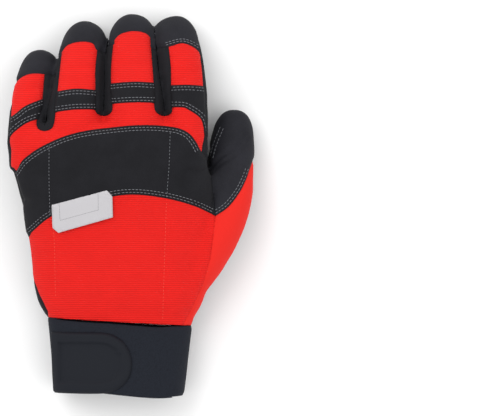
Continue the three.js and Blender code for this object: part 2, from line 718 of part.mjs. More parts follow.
function strapPrism(inset) {
  const across = 1 - inset / (STRAP_HALF.across * PALM_WIDTH);
  const along = 1 - inset / (STRAP_HALF.along * CUFF_LENGTH);
  return prism(STRAP_OUTLINE.map((row) => new THREE.Vector2(
    (STRAP_MIDDLE.across + (row.across - STRAP_MIDDLE.across) * across) * PALM_WIDTH,
    (STRAP_MIDDLE.along + (row.along - STRAP_MIDDLE.along) * along) * CUFF_LENGTH,
  )).reverse());
}

function geometryOf(shape) {
  const { vertProperties, triVerts } = shape.getMesh();
  const geometry = new THREE.BufferGeometry();
  geometry.setAttribute('position', new THREE.Float32BufferAttribute(vertProperties, 3));
  geometry.setIndex(Array.from(triVerts));
  return geometry;
}

// The largest body of a cut piece, without the crumbs that a cut can leave beside it
const largest = (cut) => cut.decompose().sort((a, b) => b.volume() - a.volume())[0];

const glove = new THREE.Group();
glove.name = 'chainsaw_glove';
function piece(name, material, cut) {
  const geometry = geometryOf(largest(solid(geometryOf(largest(cut)), 1e-3)));
  geometry.computeVertexNormals();
  const mesh = new THREE.Mesh(geometry, new THREE.MeshStandardMaterial({
    ...MATERIALS[material],
    metalness: 0,
  }));
  mesh.name = name;
  glove.add(mesh);
}

piece('palm_leather', 'black_leather', shell
  .intersect(handFronts)
  .subtract(thumbSeamGap));
piece('thumb_leather', 'black_leather', shell
  .intersect(zones.thumb.intersect(belowThumb))
  .subtract(thumbSeamGap));
piece('back_knit', 'red_knit', shell
  .intersect(handBacks)
  .subtract(gussets)
  .subtract(thumbSeamGap));
FINGERS.forEach((name) => {
  piece(`finger_leather_${name}`, 'black_leather', shell
    .intersect(below[name].intersect(fingerZones[name]))
    .subtract(thumbSeamGap));
  piece(`finger_knit_${name}`, 'red_knit', shell
    .intersect(notCaps.intersect(fingerZones[name]))
    .subtract(gussets)
    .subtract(thumbSeamGap));
});
piece('thumb_side_knit', 'red_knit', shell
  .intersect(zones.thumb.intersect(aboveThumb))
  .subtract(thumbCapZone)
  .subtract(thumbCapGap)
  .subtract(thumbSeamGap));
const capShell = form(CAP_RISE).subtract(hollow);
piece('thumb_cap', 'tip_leather', capShell
  .intersect(thumbCapZone.intersect(aboveThumb))
  .subtract(thumbCapGap)
  .subtract(thumbSeamGap));
Object.keys(CREASES).forEach((name) => {
  piece(`gusset_${name}`, 'black_leather', shell
    .intersect(notCaps)
    .intersect(gussetPrism(name, 0))
    .subtract(thumbSeamGap));
});
FINGERS.forEach((name) => {
  piece(`fingertip_cap_${name}`, 'tip_leather', capShell
    .intersect(above[name].intersect(beyondLine(CAP_EDGE[name], 1)))
    .subtract(thumbSeamGap));
});
FINGERS.forEach((name) => {
  piece(`knuckle_band_${name}`, 'black_leather', patchLayer
    .intersect(above[name])
    .intersect(outlinePrism(BAND_OUTLINES[name]))
    .subtract(gussets)
    .subtract(thumbSeamGap));
});
piece('back_pad', 'black_leather', padLayer
  .intersect(aboveSeam)
  .intersect(outlinePrism(PAD_OUTLINE))
  .subtract(thumbSeamGap));
piece('label', 'label_woven', labelLayer
  .intersect(aboveSeam)
  .intersect(outlinePrism(LABEL_OUTLINE)));
piece('palm_patch_upper', 'black_leather', patchLayer
  .intersect(belowSeam)
  .intersect(outlinePrism(UPPER_PATCH_OUTLINE)));
piece('palm_patch_lower', 'black_leather', patchLayer
  .intersect(belowSeam.add(zones.thumb.intersect(belowThumb)))
  .intersect(outlinePrism(LOWER_PATCH_OUTLINE)));
Object.keys(TIP_PATCH_EDGE).forEach((name) => {
  piece(`tip_patch_${name}`, 'tip_leather', patchLayer
    .intersect(below[name])
    .intersect(tipPatchPrism(name)));
});
piece('cuff', 'cuff_foam', cuffLoft(0).subtract(cuffLoft(-CUFF_WALL)).intersect(cuffZone));
piece('strap', 'strap_rubber', cuffLoft(OVER + STRAP).subtract(cuffLoft(OVER))
  .intersect(strapPrism(0))
  .intersect(beside(palmSeam, 1))
  .subtract(strapPrism(STRAP_BORDER).subtract(cuffLoft(OVER + STRAP - STRAP_SINK))));

// Origin under the middle of the whole glove
const bounds = new THREE.Box3().setFromObject(glove);
const shift = bounds.getCenter(new THREE.Vector3()).setZ(bounds.min.z).negate();
glove.children.forEach((mesh) => mesh.geometry.translate(...shift));

export default glove;
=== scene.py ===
"""Looks of a left-hand work glove lying palm down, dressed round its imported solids.

Tables are in millimetres on the drawing's axes: y = 0 at the wrist seam, x = 0 on the
middle finger's line and z = 0 on the floor. at() turns them into the frame's metres.
"""
from __future__ import annotations

import logging
import math
from collections.abc import Callable, Iterable, Sequence
from dataclasses import dataclass, field
from enum import Enum
from typing import ClassVar

import bmesh
import bpy
import numpy as np
from mathutils import Matrix, Vector, noise
from mathutils.bvhtree import BVHTree
from mathutils.kdtree import KDTree

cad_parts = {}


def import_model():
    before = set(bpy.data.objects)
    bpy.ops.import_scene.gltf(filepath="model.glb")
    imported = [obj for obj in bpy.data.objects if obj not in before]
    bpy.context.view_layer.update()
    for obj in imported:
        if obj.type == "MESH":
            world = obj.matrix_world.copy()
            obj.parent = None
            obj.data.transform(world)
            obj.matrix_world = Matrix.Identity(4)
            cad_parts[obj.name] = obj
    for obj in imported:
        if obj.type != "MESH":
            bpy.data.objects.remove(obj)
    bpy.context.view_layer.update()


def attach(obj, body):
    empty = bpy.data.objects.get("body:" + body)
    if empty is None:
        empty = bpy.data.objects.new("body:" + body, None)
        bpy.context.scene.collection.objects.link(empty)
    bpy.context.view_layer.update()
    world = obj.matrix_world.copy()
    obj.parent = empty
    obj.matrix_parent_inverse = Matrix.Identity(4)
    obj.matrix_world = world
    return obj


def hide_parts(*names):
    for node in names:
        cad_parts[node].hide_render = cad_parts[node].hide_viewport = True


log = logging.getLogger("glove")

MM = 0.001
SHIFT = Vector((-0.8, -63.254, 0.0))  # drawing's origin in the frame, mm
FLOOR = 1.5  # leather above the floor, mm
REACH = 340.0  # longer than anything here, mm
HALF = REACH / 2
BODY = "root"

Point = tuple[float, float]


def at(x: float, y: float, z: float = 0.0) -> Vector:
    """A drawing point, in the frame's metres.

    Args:
        x, y, z: millimetres on the drawing's axes.

    Returns:
        The point in metres.
    """
    return (Vector((x, y, z)) + SHIFT) * MM


@dataclass(frozen=True)
class Ring:
    """One section of a loft: its middle, half width and half height."""

    y: float
    x: float
    z: float
    wide: float
    deep: float


def tube(*rows: tuple[float, float, float, float, float]) -> list[Ring]:
    """Rings from rows of y, x, top, under, half width."""
    return [Ring(y, x, (t + b) / 2, w, (t - b) / 2) for y, x, t, b, w in rows]


# The hand's sections, from the wrist to the fingers: y, left, right, under, top.
PALM = [
    Ring(y, (left + right) / 2, (under + top) / 2, (right - left) / 2, (top - under) / 2)
    for y, left, right, under, top in (
        (-14, -45.1, 34.6, -2.5, 33.0),
        (0, -45.5, 35.2, -2.5, 34.5),
        (9, -50.0, 40.2, -2.5, 38.5),
        (20, -53.1, 43.4, -2.5, 42.5),
        (34, -54.3, 44.8, -1.5, 46.0),
        (57, -56.9, 47.0, 3.0, 50.0),
        (76, -61.8, 44.8, 9.0, 53.5),
        (94, -66.6, 41.4, 13.5, 55.5),
        (102, -66.0, 41.0, 16.2, 54.2),
        (108, -62.0, 38.0, 22.0, 49.0),
    )
]
DIGITS = {
    "pinky": tube(
        (84, -54.2, 49, 20, 11.3), (100, -55.2, 48.5, 18, 11.2), (113, -54.5, 43.8, 16.5, 11.2),
        (125, -52.7, 36.3, 11.6, 11.3), (135, -50.8, 28.2, 5.2, 11), (141.2, -48.8, 20.8, -0.3, 9.8),
        (145.2, -47, 13.4, 0.6, 5.9), (146.6, -46.2, 7.4, 4.2, 1.2),
    ),
    "ring": tube(
        (84, -29.5, 53.5, 20, 15.5), (100, -29.6, 54, 19, 16.4), (113, -29, 50.3, 18.5, 16),
        (128, -27.8, 42.6, 14.6, 14.6), (143, -26.6, 32.6, 8, 13.1), (154.5, -24.8, 23.6, 0.2, 11.8),
        (161, -23, 14, 0, 7.4), (163.4, -22.1, 6.8, 3.6, 1.4),
    ),
    "middle": tube(
        (84, 3.3, 54, 20, 16.5), (100, 3.3, 55, 20, 17.2), (113, 3.3, 51.5, 19.8, 16.9),
        (128, 2.5, 44.2, 15.8, 15.5), (145, 1.2, 33.6, 8.4, 14), (158, 1.8, 24, 0.4, 12.4),
        (165.4, 2.6, 14, 0, 7.6), (168, 3, 6.8, 3.6, 1.4),
    ),
    "index": tube(
        (84, 30.3, 50.5, 20, 12.8), (100, 30.7, 50.5, 19, 12.6), (113, 31.1, 47, 18.3, 12.2),
        (128, 29.8, 40.9, 14.6, 12.9), (144, 27.4, 33, 7.9, 13.1), (156, 24.8, 24, 0.6, 12.5),
        (163.9, 22.6, 14.7, 0, 9), (167.2, 21.5, 7, 3.8, 1.8),
    ),
    "thumb": tube(
        (8, 20, 32, 6, 13), (30, 33.5, 37.5, 4.5, 16), (50, 45.5, 38, 5, 16.3),
        (68, 52.6, 34.5, 4.5, 15.2), (84, 55.4, 29, 1.9, 13.3), (100, 57.2, 24.1, 0.1, 11.6),
        (109, 58, 20, -0.4, 9.4), (113.6, 58.2, 14, 2, 5.7), (114.9, 58.2, 8.8, 6, 1.2),
    ),
    "web": [
        Ring(61.2, 22, 28, 11, 11.2), Ring(68, 33, 27.4, 12.1, 11.2), Ring(72.3, 42.9, 24.6, 11.6, 10.1),
        Ring(73.1, 49.5, 20.7, 11, 9.5), Ring(71.4, 55, 18.5, 7.7, 6.7),
    ],
}
FINGERS = ("pinky", "ring", "middle", "index")


@dataclass(frozen=True)
class CreaseRow:
    """Where a crease between two fingers runs, and how far its gusset shows beside it."""

    y: float
    x: float
    left: float
    right: float


CREASES = {
    "pinky_ring": [
        CreaseRow(104, -45.4, 0, 0), CreaseRow(105.4, -45.4, 3.6, 3.6), CreaseRow(109, -45.2, 4.7, 4.7),
        CreaseRow(118, -43.6, 3.6, 3.9), CreaseRow(136, -40.3, 6, 1.8), CreaseRow(178, -37.4, 6, 1.5),
    ],
    "ring_middle": [
        CreaseRow(112.2, -13.3, 0, 0), CreaseRow(113.6, -13.3, 3.2, 3.2), CreaseRow(117, -13.3, 4.5, 4.5),
        CreaseRow(128, -13.3, 4.4, 3.4), CreaseRow(144, -13.3, 4.4, 3.4), CreaseRow(178, -9.4, 4, 3),
    ],
    "middle_index": [
        CreaseRow(112.2, 20, 0, 0), CreaseRow(113.6, 19.8, 3.2, 3.2), CreaseRow(117, 19.3, 4.5, 4.5),
        CreaseRow(128, 17.8, 3.4, 5.4), CreaseRow(144, 15.7, 2.6, 6.8), CreaseRow(178, 11.6, 2, 6),
    ],
}
WEB_AHEAD = 2.6  # the slot between two fingers starts this far into its gusset, mm
SLOT_HALF = 0.12  # half the slot's width, mm

# Side seams: y and z.
PALM_SEAM: list[Point] = [(-85, 15.1), (0, 15.1), (20, 18.5), (57, 24.1), (94, 31.9), (117, 30.5)]
OUTER_SEAM: list[Point] = [
    (-85, 20), (0, 24), (9, 27), (18, 26), (24, 20.5), (40, 24), (57, 29), (70, 37), (94, 42), (108, 40),
    (117, 34),
]
INDEX_SEAM: list[Point] = [
    (-85, 15.1), (0, 15.1), (20, 18.5), (57, 24.1), (78, 29), (86, 37), (92, 45), (96, 44.2), (100, 42.5),
    (104, 41.2), (110, 40.6), (117, 39.4), (128, 35), (144, 27.3), (156, 16.2),
]
SHARED_SEAM = 117  # from here on each finger has its own seam, y
SEAM_DROP = 0.1  # how far it lies under the finger's middle, in half heights
THUMB_SEAM_DROP = 0.25  # the same for the thumb

# Edges and outlines seen from above: x and y.
CAP_EDGE: dict[str, list[Point]] = {
    "pinky": [(-80, 124), (-66, 129), (-62, 132.4), (-58.4, 134.8), (-53.5, 136.2), (-47, 136), (-40, 135)],
    "ring": [
        (-60, 144), (-40, 144.5), (-37.5, 148.6), (-34, 152.2), (-26.7, 154), (-20, 153), (-17, 149),
        (-8, 147),
    ],
    "middle": [
        (-24, 151), (-9.8, 152), (-8.4, 155), (-5, 158.2), (1.8, 159.9), (8.6, 159), (12, 156), (13.2, 150),
        (24, 149),
    ],
    "index": [(4, 150), (20.5, 150.8), (28.6, 153), (34.1, 151.7), (38.7, 148.6), (41.6, 143.4), (54, 138)],
}
THUMB_LINE: list[Point] = [
    (27.5, -34), (30.8, -1.4), (36.3, 9), (41.2, 20), (45.1, 33.7), (47.7, 57.4), (46, 74.5),
    (44.3, 85), (44.4, 96), (44.6, 104), (45.2, 112.2), (51.7, 153),
]
THUMB_CAP_LINE: list[Point] = [
    (47.7, 57.4), (55, 62.6), (61.2, 70.5), (65.2, 78.4), (67.3, 84.2), (74, 100), (88, 112.2),
]

PAD_TOP: list[Point] = [
    (-77, 80.0), (-63, 81.1), (-56.4, 88.9), (-44.2, 96.6), (-27.6, 102.8), (-5.5, 106), (11.1, 107),
    (24.2, 106), (30.2, 104.4), (34.2, 101.8), (37.4, 97.6), (39.8, 93), (46, 84), (50, 72), (51, 56),
]
PAD_UNDER: list[Point] = [
    (51, 56), (45.4, 58.6), (36, 62.9), (22.1, 66.8), (5.5, 69), (-8.3, 68), (-24.9, 63.4), (-41.5, 57.4),
    (-52.5, 49.1), (-57, 45.2), (-77, 41),
]
BANDS: dict[str, tuple[list[Point], list[Point]]] = {
    "pinky": (
        [(-46.3, 122), (-56.4, 117.6), (-64.1, 112), (-77, 108)],
        [(-77, 95.5), (-66, 100), (-61.9, 103.5), (-55.3, 108.2), (-46.3, 111.5)],
    ),
    "ring": ([(-17.2, 126.4), (-28.8, 127), (-40.4, 125.4)], [(-40.4, 114), (-28.8, 115.4), (-17.2, 115.6)]),
    "middle": ([(14.9, 130.4), (3.3, 130.9), (-10.4, 130)], [(-10.4, 118.6), (3.3, 119.3), (15.9, 119.2)]),
    "index": (
        [(51.7, 127.7), (41.5, 128.8), (32.8, 129.3), (22.6, 129.1)],
        [
            (22.6, 116.9), (30, 116.7), (33.1, 115.4), (37.3, 112.8), (39.9, 110.2), (41.2, 106),
            (42.4, 101.5), (51.7, 95),
        ],
    ),
}
LABEL: list[Point] = [(-40.9, 64), (-11.1, 71.7), (-8.3, 68.4), (-8, 57), (-37.6, 48.5), (-40.4, 51.3)]
LABEL_FRAME: list[Point] = [(-37.4, 64.9), (-37, 55), (-16, 60.7), (-16, 70.2)]
QUILT: list[list[Point]] = [
    [(-42.6, 95.5), (-42.8, 75), (-42.4, 57), (-40.6, 46), (-40.2, 12)],
    [(23.2, 103), (22.6, 85), (21.2, 66), (20, 36), (18.6, -1)],
]
QUILT_CHANGE = (57, 66)  # the y at which each of these passes from the pad to the knit
THUMB_ROWS: list[list[Point]] = [
    [(44.4, 89), (46.6, 97.5), (51, 108.4)],
    [(46.2, 89.4), (48.4, 97.2), (52.6, 107.2)],
]

UPPER_PATCH: list[Point] = [
    (-41.5, 86.4), (-38.7, 104.4), (-33, 122.4), (-27.1, 130), (-22, 126.6), (-19.3, 117.3), (-16.3, 104),
    (-9.7, 104), (-6.6, 117.3), (-1.7, 130), (5.5, 130), (11, 115.6), (14.9, 103.7), (22, 103.7),
    (27, 116.6), (32.6, 126.8), (37.4, 122.4), (37.4, 103.2), (33, 87.6), (24.1, 86.7), (7.7, 89.3),
    (-6.7, 89.3),
]
LOWER_PATCH: list[Point] = [
    (-41.8, 81.4), (-14.5, 80.2), (-5.5, 75.6), (-23.1, 66.3), (-50.6, 53.7), (-45.3, 43.4), (-31.6, 48.8),
    (-6.7, 63.9), (16.5, 73.6), (16.8, 67.5), (5.7, 59.7), (-15.8, 35.5), (-9.4, 29.4), (0.6, 33.2),
    (24.1, 51.2), (40.7, 66.3), (50.6, 81.6), (55, 95.2), (60.5, 95.2), (61.6, 76.5), (59.4, 62.7),
    (51.7, 45.9), (38.5, 27.2), (24.2, 13.6), (5.5, 6.5), (-17.2, 6), (-40.7, 7.7), (-48.4, 15.3),
    (-50.6, 34), (-55, 56.1), (-55, 73.1),
]
PALM_PATCHES = {"upper": UPPER_PATCH, "lower": LOWER_PATCH}
# The y at which each fingertip's patch starts.
TIP_PATCH = {"pinky": 136.0, "ring": 150.6, "middle": 153.0}

CUFF_TOP: list[Point] = [
    (90, -4), (34, -3.4), (18, -4), (6, -3.3), (-10, -1.9), (-28, -0.9), (-40, 0.3), (-45, 2), (-90, 3),
]
CUFF_MOUTH: list[Point] = [
    (-90, -39.5), (-42, -39.5), (-36, -39.2), (-22, -39.6), (-2, -41.7), (14, -43.1), (24, -43),
    (30, -42.3), (90, -42),
]
STRAP: list[Point] = [
    (-66, -6.6), (-30, -6.6), (-14, -6.8), (-7.5, -8.6), (-2.2, -12.6), (0.9, -18.4), (1.8, -25),
    (0.3, -31.4), (-4.2, -36.8), (-10, -39.6), (-18, -40.5), (-40, -40.4), (-66, -40.3),
]


# Small geometry helpers


def catmull(rows: np.ndarray, count: int) -> np.ndarray:
    """Smooth rows drawn through the given ones.

    Args:
        rows: one point a row.
        count: how many rows to return.

    Returns:
        The rows, evenly spread over the spans.
    """
    padded = np.vstack([2 * rows[0] - rows[1], rows, 2 * rows[-1] - rows[-2]])
    share = np.linspace(0, len(rows) - 1 - 1e-9, count)
    i = share.astype(int)
    t = (share - i)[:, None]
    a, b, c, d = padded[i], padded[i + 1], padded[i + 2], padded[i + 3]
    bend = (2 * a - 5 * b + 4 * c - d) * t**2
    twist = (3 * b - a - 3 * c + d) * t**3
    return 0.5 * (2 * b + (c - a) * t + bend + twist)


def smooth_line(points: Sequence[Point], step: float = 1.5, closed: bool = False) -> list[Point]:
    """A smooth line through drawing points.

    Args:
        points: the points, mm.
        step: about how far apart the line's own points lie, mm.
        closed: True for a line that comes back to its start.

    Returns:
        The line's points, at least four for each given one.
    """
    rows = np.array(points, float)
    if closed:
        rows = np.vstack([rows[-1], rows, rows[:2]])
    length = float(np.linalg.norm(np.diff(rows, axis=0), axis=1).sum())
    line = catmull(rows, max(int(length / step), 4 * len(rows)))
    if closed:
        spans = len(rows) - 1
        share = np.linspace(0, spans, len(line))
        line = line[(share >= 1) & (share < spans - 1)]
    return [(float(x), float(y)) for x, y in line]


def resample(points: Sequence[Point], step: float) -> np.ndarray:
    """Evenly spaced points along a line.

    Args:
        points: the line, mm.
        step: the spacing, mm.

    Returns:
        One point a row.
    """
    rows = np.array(points, float)
    run = np.concatenate([[0], np.cumsum(np.linalg.norm(np.diff(rows, axis=0), axis=1))])
    along = np.arange(0, run[-1], step)
    return np.column_stack([np.interp(along, run, rows[:, k]) for k in range(rows.shape[1])])


def beside_line(points: Sequence[Point], distance: float) -> list[Point]:
    """A line moved sideways.

    Args:
        points: the line, mm.
        distance: how far to its left, mm.

    Returns:
        The moved line.
    """
    rows = np.array(points, float)
    ahead = np.gradient(rows, axis=0)
    ahead /= np.maximum(np.linalg.norm(ahead, axis=1), 1e-9)[:, None]
    return [(x - distance * ay, y + distance * ax) for (x, y), (ax, ay) in zip(rows, ahead)]


def beside_both(line: Sequence[Point], distances: tuple[float, float]) -> list[list[Point]]:
    """The two rows of a double seam, at two distances to a line's left."""
    return [beside_line(line, distance) for distance in distances]


def smoothstep(low: float, high: float, x: np.ndarray) -> np.ndarray:
    """0 under low, 1 over high and a smooth rise between."""
    t = np.clip((x - low) / (high - low), 0, 1)
    return t * t * (3 - 2 * t)


def squared_off(share: float, roundness: float) -> float:
    """A unit circle's coordinate as a superellipse's; 2 leaves the circle as it is."""
    return math.copysign(abs(share) ** (2 / roundness), share)


def rows_of(items: bpy.types.bpy_prop_collection, key: str) -> np.ndarray:
    """A vector that every item has, as an array.

    Args:
        items: a mesh's vertices or vertex normals.
        key: the vector's name.

    Returns:
        One vector a row.
    """
    flat = np.empty(len(items) * 3, np.float32)
    items.foreach_get(key, flat)
    return flat.reshape(-1, 3).astype(float)


def tree_of(points: Sequence[Sequence[float]]) -> KDTree:
    """A tree that finds the nearest of some points.

    Args:
        points: the points.

    Returns:
        The tree; a point's number is its place among them.
    """
    tree = KDTree(len(points))
    for i, point in enumerate(points):
        tree.insert(point, i)
    tree.balance()
    return tree


def link(name: str, data: bpy.types.ID) -> bpy.types.Object:
    """A new object in the scene.

    Args:
        name: its name.
        data: its mesh, lamp or camera.

    Returns:
        The object.
    """
    obj = bpy.data.objects.new(name, data)
    bpy.context.scene.collection.objects.link(obj)
    return obj


def mesh_of(bm: bmesh.types.BMesh, name: str) -> bpy.types.Mesh:
    """A bmesh as a new mesh.

    Args:
        bm: the bmesh; it is freed.
        name: the mesh's name.

    Returns:
        The mesh.
    """
    mesh = bpy.data.meshes.new(name)
    bm.to_mesh(mesh)
    bm.free()
    return mesh


def evaluated(obj: bpy.types.Object) -> bpy.types.Mesh:
    """An object's mesh with its modifiers applied.

    Args:
        obj: the object, which stays as it is.

    Returns:
        The new mesh.
    """
    graph = bpy.context.evaluated_depsgraph_get()
    graph.update()
    return bpy.data.meshes.new_from_object(obj.evaluated_get(graph))


@dataclass
class Loft:
    """A closed tube drawn into a bmesh, one section after another.

    Attributes:
        bm: the bmesh.
        sides: points round a section.
        before: the last section's edges.
    """

    bm: bmesh.types.BMesh
    sides: int
    before: list[bmesh.types.BMEdge] = field(default_factory=list)

    def section(self, place: Callable[[float, float], Vector]) -> None:
        """Adds a section and joins it to the one before.

        Args:
            place: where a point of the unit circle goes, in metres.
        """
        circle = bmesh.ops.create_circle(self.bm, segments=self.sides, radius=1.0)["verts"]
        for v in circle:
            v.co = place(v.co.x, v.co.y)
        edges = list({e for v in circle for e in v.link_edges})
        if self.before:
            bmesh.ops.bridge_loops(self.bm, edges=self.before + edges)
        else:
            bmesh.ops.contextual_create(self.bm, geom=edges)
        self.before = edges

    def close(self) -> None:
        """Closes the last section."""
        bmesh.ops.contextual_create(self.bm, geom=self.before)


# Region solids


class Marks:
    """Two material slots that tell a cut's own faces from the glove's surface."""

    surface: bpy.types.Material
    cut: bpy.types.Material

    @classmethod
    def make(cls) -> None:
        """Adds the two marks."""
        cls.surface = bpy.data.materials.new("mark_surface")
        cls.cut = bpy.data.materials.new("mark_cut")

    @classmethod
    def drop(cls) -> None:
        """Removes them."""
        bpy.data.materials.remove(cls.surface)
        bpy.data.materials.remove(cls.cut)


@dataclass
class Solid:
    """A closed helper mesh that can be joined to, cut by or kept inside another.

    Attributes:
        everything: every helper made, so that all can be removed.
        obj: the helper's object.
        near: finds its nearest vertices, made when first needed.
        outward: its vertices' normals, made with near.
    """

    SURFACE: ClassVar[int] = 0
    CUT: ClassVar[int] = 1
    everything: ClassVar[list[bpy.types.Object]] = []

    obj: bpy.types.Object
    near: KDTree | None = None
    outward: list[Vector] = field(default_factory=list)

    def __post_init__(self) -> None:
        """Remembers the helper."""
        Solid.everything.append(self.obj)

    @classmethod
    def of(cls, bm: bmesh.types.BMesh, mark: int) -> Solid:
        """A solid from a closed bmesh.

        Args:
            bm: the closed surface; it is freed.
            mark: SURFACE for the glove's surface, CUT for a cut's faces.

        Returns:
            The solid.
        """
        bmesh.ops.recalc_face_normals(bm, faces=bm.faces)
        for face in bm.faces:
            face.material_index = mark
        obj = link("helper", mesh_of(bm, "helper"))
        obj.data.materials.append(Marks.surface)
        obj.data.materials.append(Marks.cut)
        return cls(obj)

    @staticmethod
    def triangulate(bm: bmesh.types.BMesh) -> None:
        """Parts all faces, also bent outlines, which a later cut would part wrongly."""
        bmesh.ops.triangulate(bm, faces=bm.faces, quad_method="BEAUTY", ngon_method="EAR_CLIP")

    @classmethod
    def prism(cls, points: Sequence[Vector], along: Vector, mark: int = CUT) -> Solid:
        """Everything swept by a flat outline moved along a vector.

        Args:
            points: the outline's corners, in metres.
            along: the sweep, in metres.
            mark: as in of().

        Returns:
            The solid.
        """
        bm = bmesh.new()
        face = bm.faces.new([bm.verts.new(p) for p in points])
        swept = bmesh.ops.extrude_face_region(bm, geom=[face], use_keep_orig=True)["geom"]
        bmesh.ops.translate(bm, vec=along, verts=[g for g in swept if isinstance(g, bmesh.types.BMVert)])
        cls.triangulate(bm)
        return cls.of(bm, mark)

    @classmethod
    def plan(cls, points: Iterable[Point], mark: int = CUT) -> Solid:
        """Everything inside an outline seen from above."""
        return cls.prism([at(x, y, -HALF) for x, y in points], Vector((0, 0, REACH * MM)), mark)

    @classmethod
    def profile(cls, points: Iterable[Point]) -> Solid:
        """Everything inside a y, z outline, run across the glove."""
        return cls.prism([at(-HALF, y, z) for y, z in points], Vector((REACH * MM, 0, 0)))

    def combined(self, other: Solid, operation: str) -> Solid:
        """A new solid made of this one and another.

        Args:
            other: the other solid.
            operation: the boolean modifier's operation.

        Returns:
            The new solid.
        """
        copy = link("helper", self.obj.data.copy())
        modifier = copy.modifiers.new("cut", "BOOLEAN")
        modifier.operation = operation
        modifier.solver = "MANIFOLD"
        modifier.material_mode = "INDEX"
        modifier.object = other.obj
        mesh = evaluated(copy)
        bpy.data.objects.remove(copy)
        if all(face.material_index == self.CUT for face in mesh.polygons):
            bm = bmesh.new()
            bm.from_mesh(mesh)
            self.triangulate(bm)
            bm.to_mesh(mesh)
            bm.free()
        return Solid(link("helper", mesh))

    def both(self, other: Solid) -> Solid:
        """What both hold."""
        return self.combined(other, "INTERSECT")

    def less(self, other: Solid) -> Solid:
        """What this holds and other doesn't."""
        return self.combined(other, "DIFFERENCE")

    def plus(self, other: Solid) -> Solid:
        """What either holds."""
        return self.combined(other, "UNION")

    def direction(self, place: Vector, count: int = 4, even: float = 0.2) -> Vector:
        """Which way the surface faces near a place.

        Args:
            place: the place, in metres.
            count: how many of the nearest vertices are asked.
            even: added to each one's distance, so that none outweighs the rest, mm.

        Returns:
            The direction, of length 1.
        """
        if self.near is None:
            verts = self.obj.data.vertices
            self.near = tree_of([v.co for v in verts])
            self.outward = [v.normal.copy() for v in verts]
        total = Vector()
        for _, i, gap in self.near.find_n(place, count):
            total += self.outward[i] / (gap + even * MM)
        return total.normalized()

    @classmethod
    def drop_all(cls) -> None:
        """Removes every helper mesh."""
        for obj in cls.everything:
            mesh = obj.data
            bpy.data.objects.remove(obj)
            if not mesh.users:
                bpy.data.meshes.remove(mesh)
        cls.everything.clear()


def joined(solids: Iterable[Solid]) -> Solid:
    """Several solids as one.

    Args:
        solids: at least one solid.

    Returns:
        All that any of them holds.
    """
    first, *rest = solids
    for solid in rest:
        first = first.plus(solid)
    return first


# The hand's form


@dataclass(frozen=True)
class Fold:
    """A groove or ridge pressed into the glove along a line.

    Attributes:
        points: the line, seen from above.
        depth: how far in, mm; negative stands out.
        width: half width, mm.
        upper: True on the back of the hand, False on the palm side.
    """

    points: tuple[Point, ...]
    depth: float
    width: float
    upper: bool = True


FOLDS = (
    *(Fold(tuple(line), 0.55, 1.3) for line in QUILT),
    Fold(((-70, 66), (-62, 67.5), (-55, 66)), 0.9, 2.2),
    Fold(((44, 84), (38, 88), (30, 88)), 0.5, 2.6),
    Fold(((44.2, 83.6), (50, 89.4), (56.2, 93.4), (61.6, 98.8), (64, 103)), 1.4, 1.2),
    Fold(((44.4, 81), (50.8, 86.4), (57.4, 90.4), (63, 95.8), (65.6, 100)), 1.2, 1.2),
    Fold(((-58, 104), (-52, 106)), 0.5, 2.0),
    Fold(((-34, 138), (-20, 139)), 0.35, 1.8),
    Fold(((-6, 141), (10, 141)), 0.35, 1.8),
    Fold(((22, 138), (36, 136)), 0.4, 1.8),
    Fold(((-60, 126), (-48, 128)), 0.4, 1.8),
    Fold(((-62, 84), (-30, 78), (0, 80), (36, 90)), 0.9, 2.6, upper=False),
    Fold(((40, 80), (18, 62), (-6, 40), (-12, 16)), 0.7, 2.8, upper=False),
    Fold(((-64, 116), (-46, 118)), 0.8, 2.0, upper=False),
    Fold(((-44, 124), (-14, 125)), 0.8, 2.2, upper=False),
    Fold(((-12, 126), (18, 126)), 0.8, 2.2, upper=False),
    Fold(((20, 124), (42, 122)), 0.8, 2.2, upper=False),
    Fold(((46, 84), (68, 80)), 0.7, 2.2, upper=False),
)


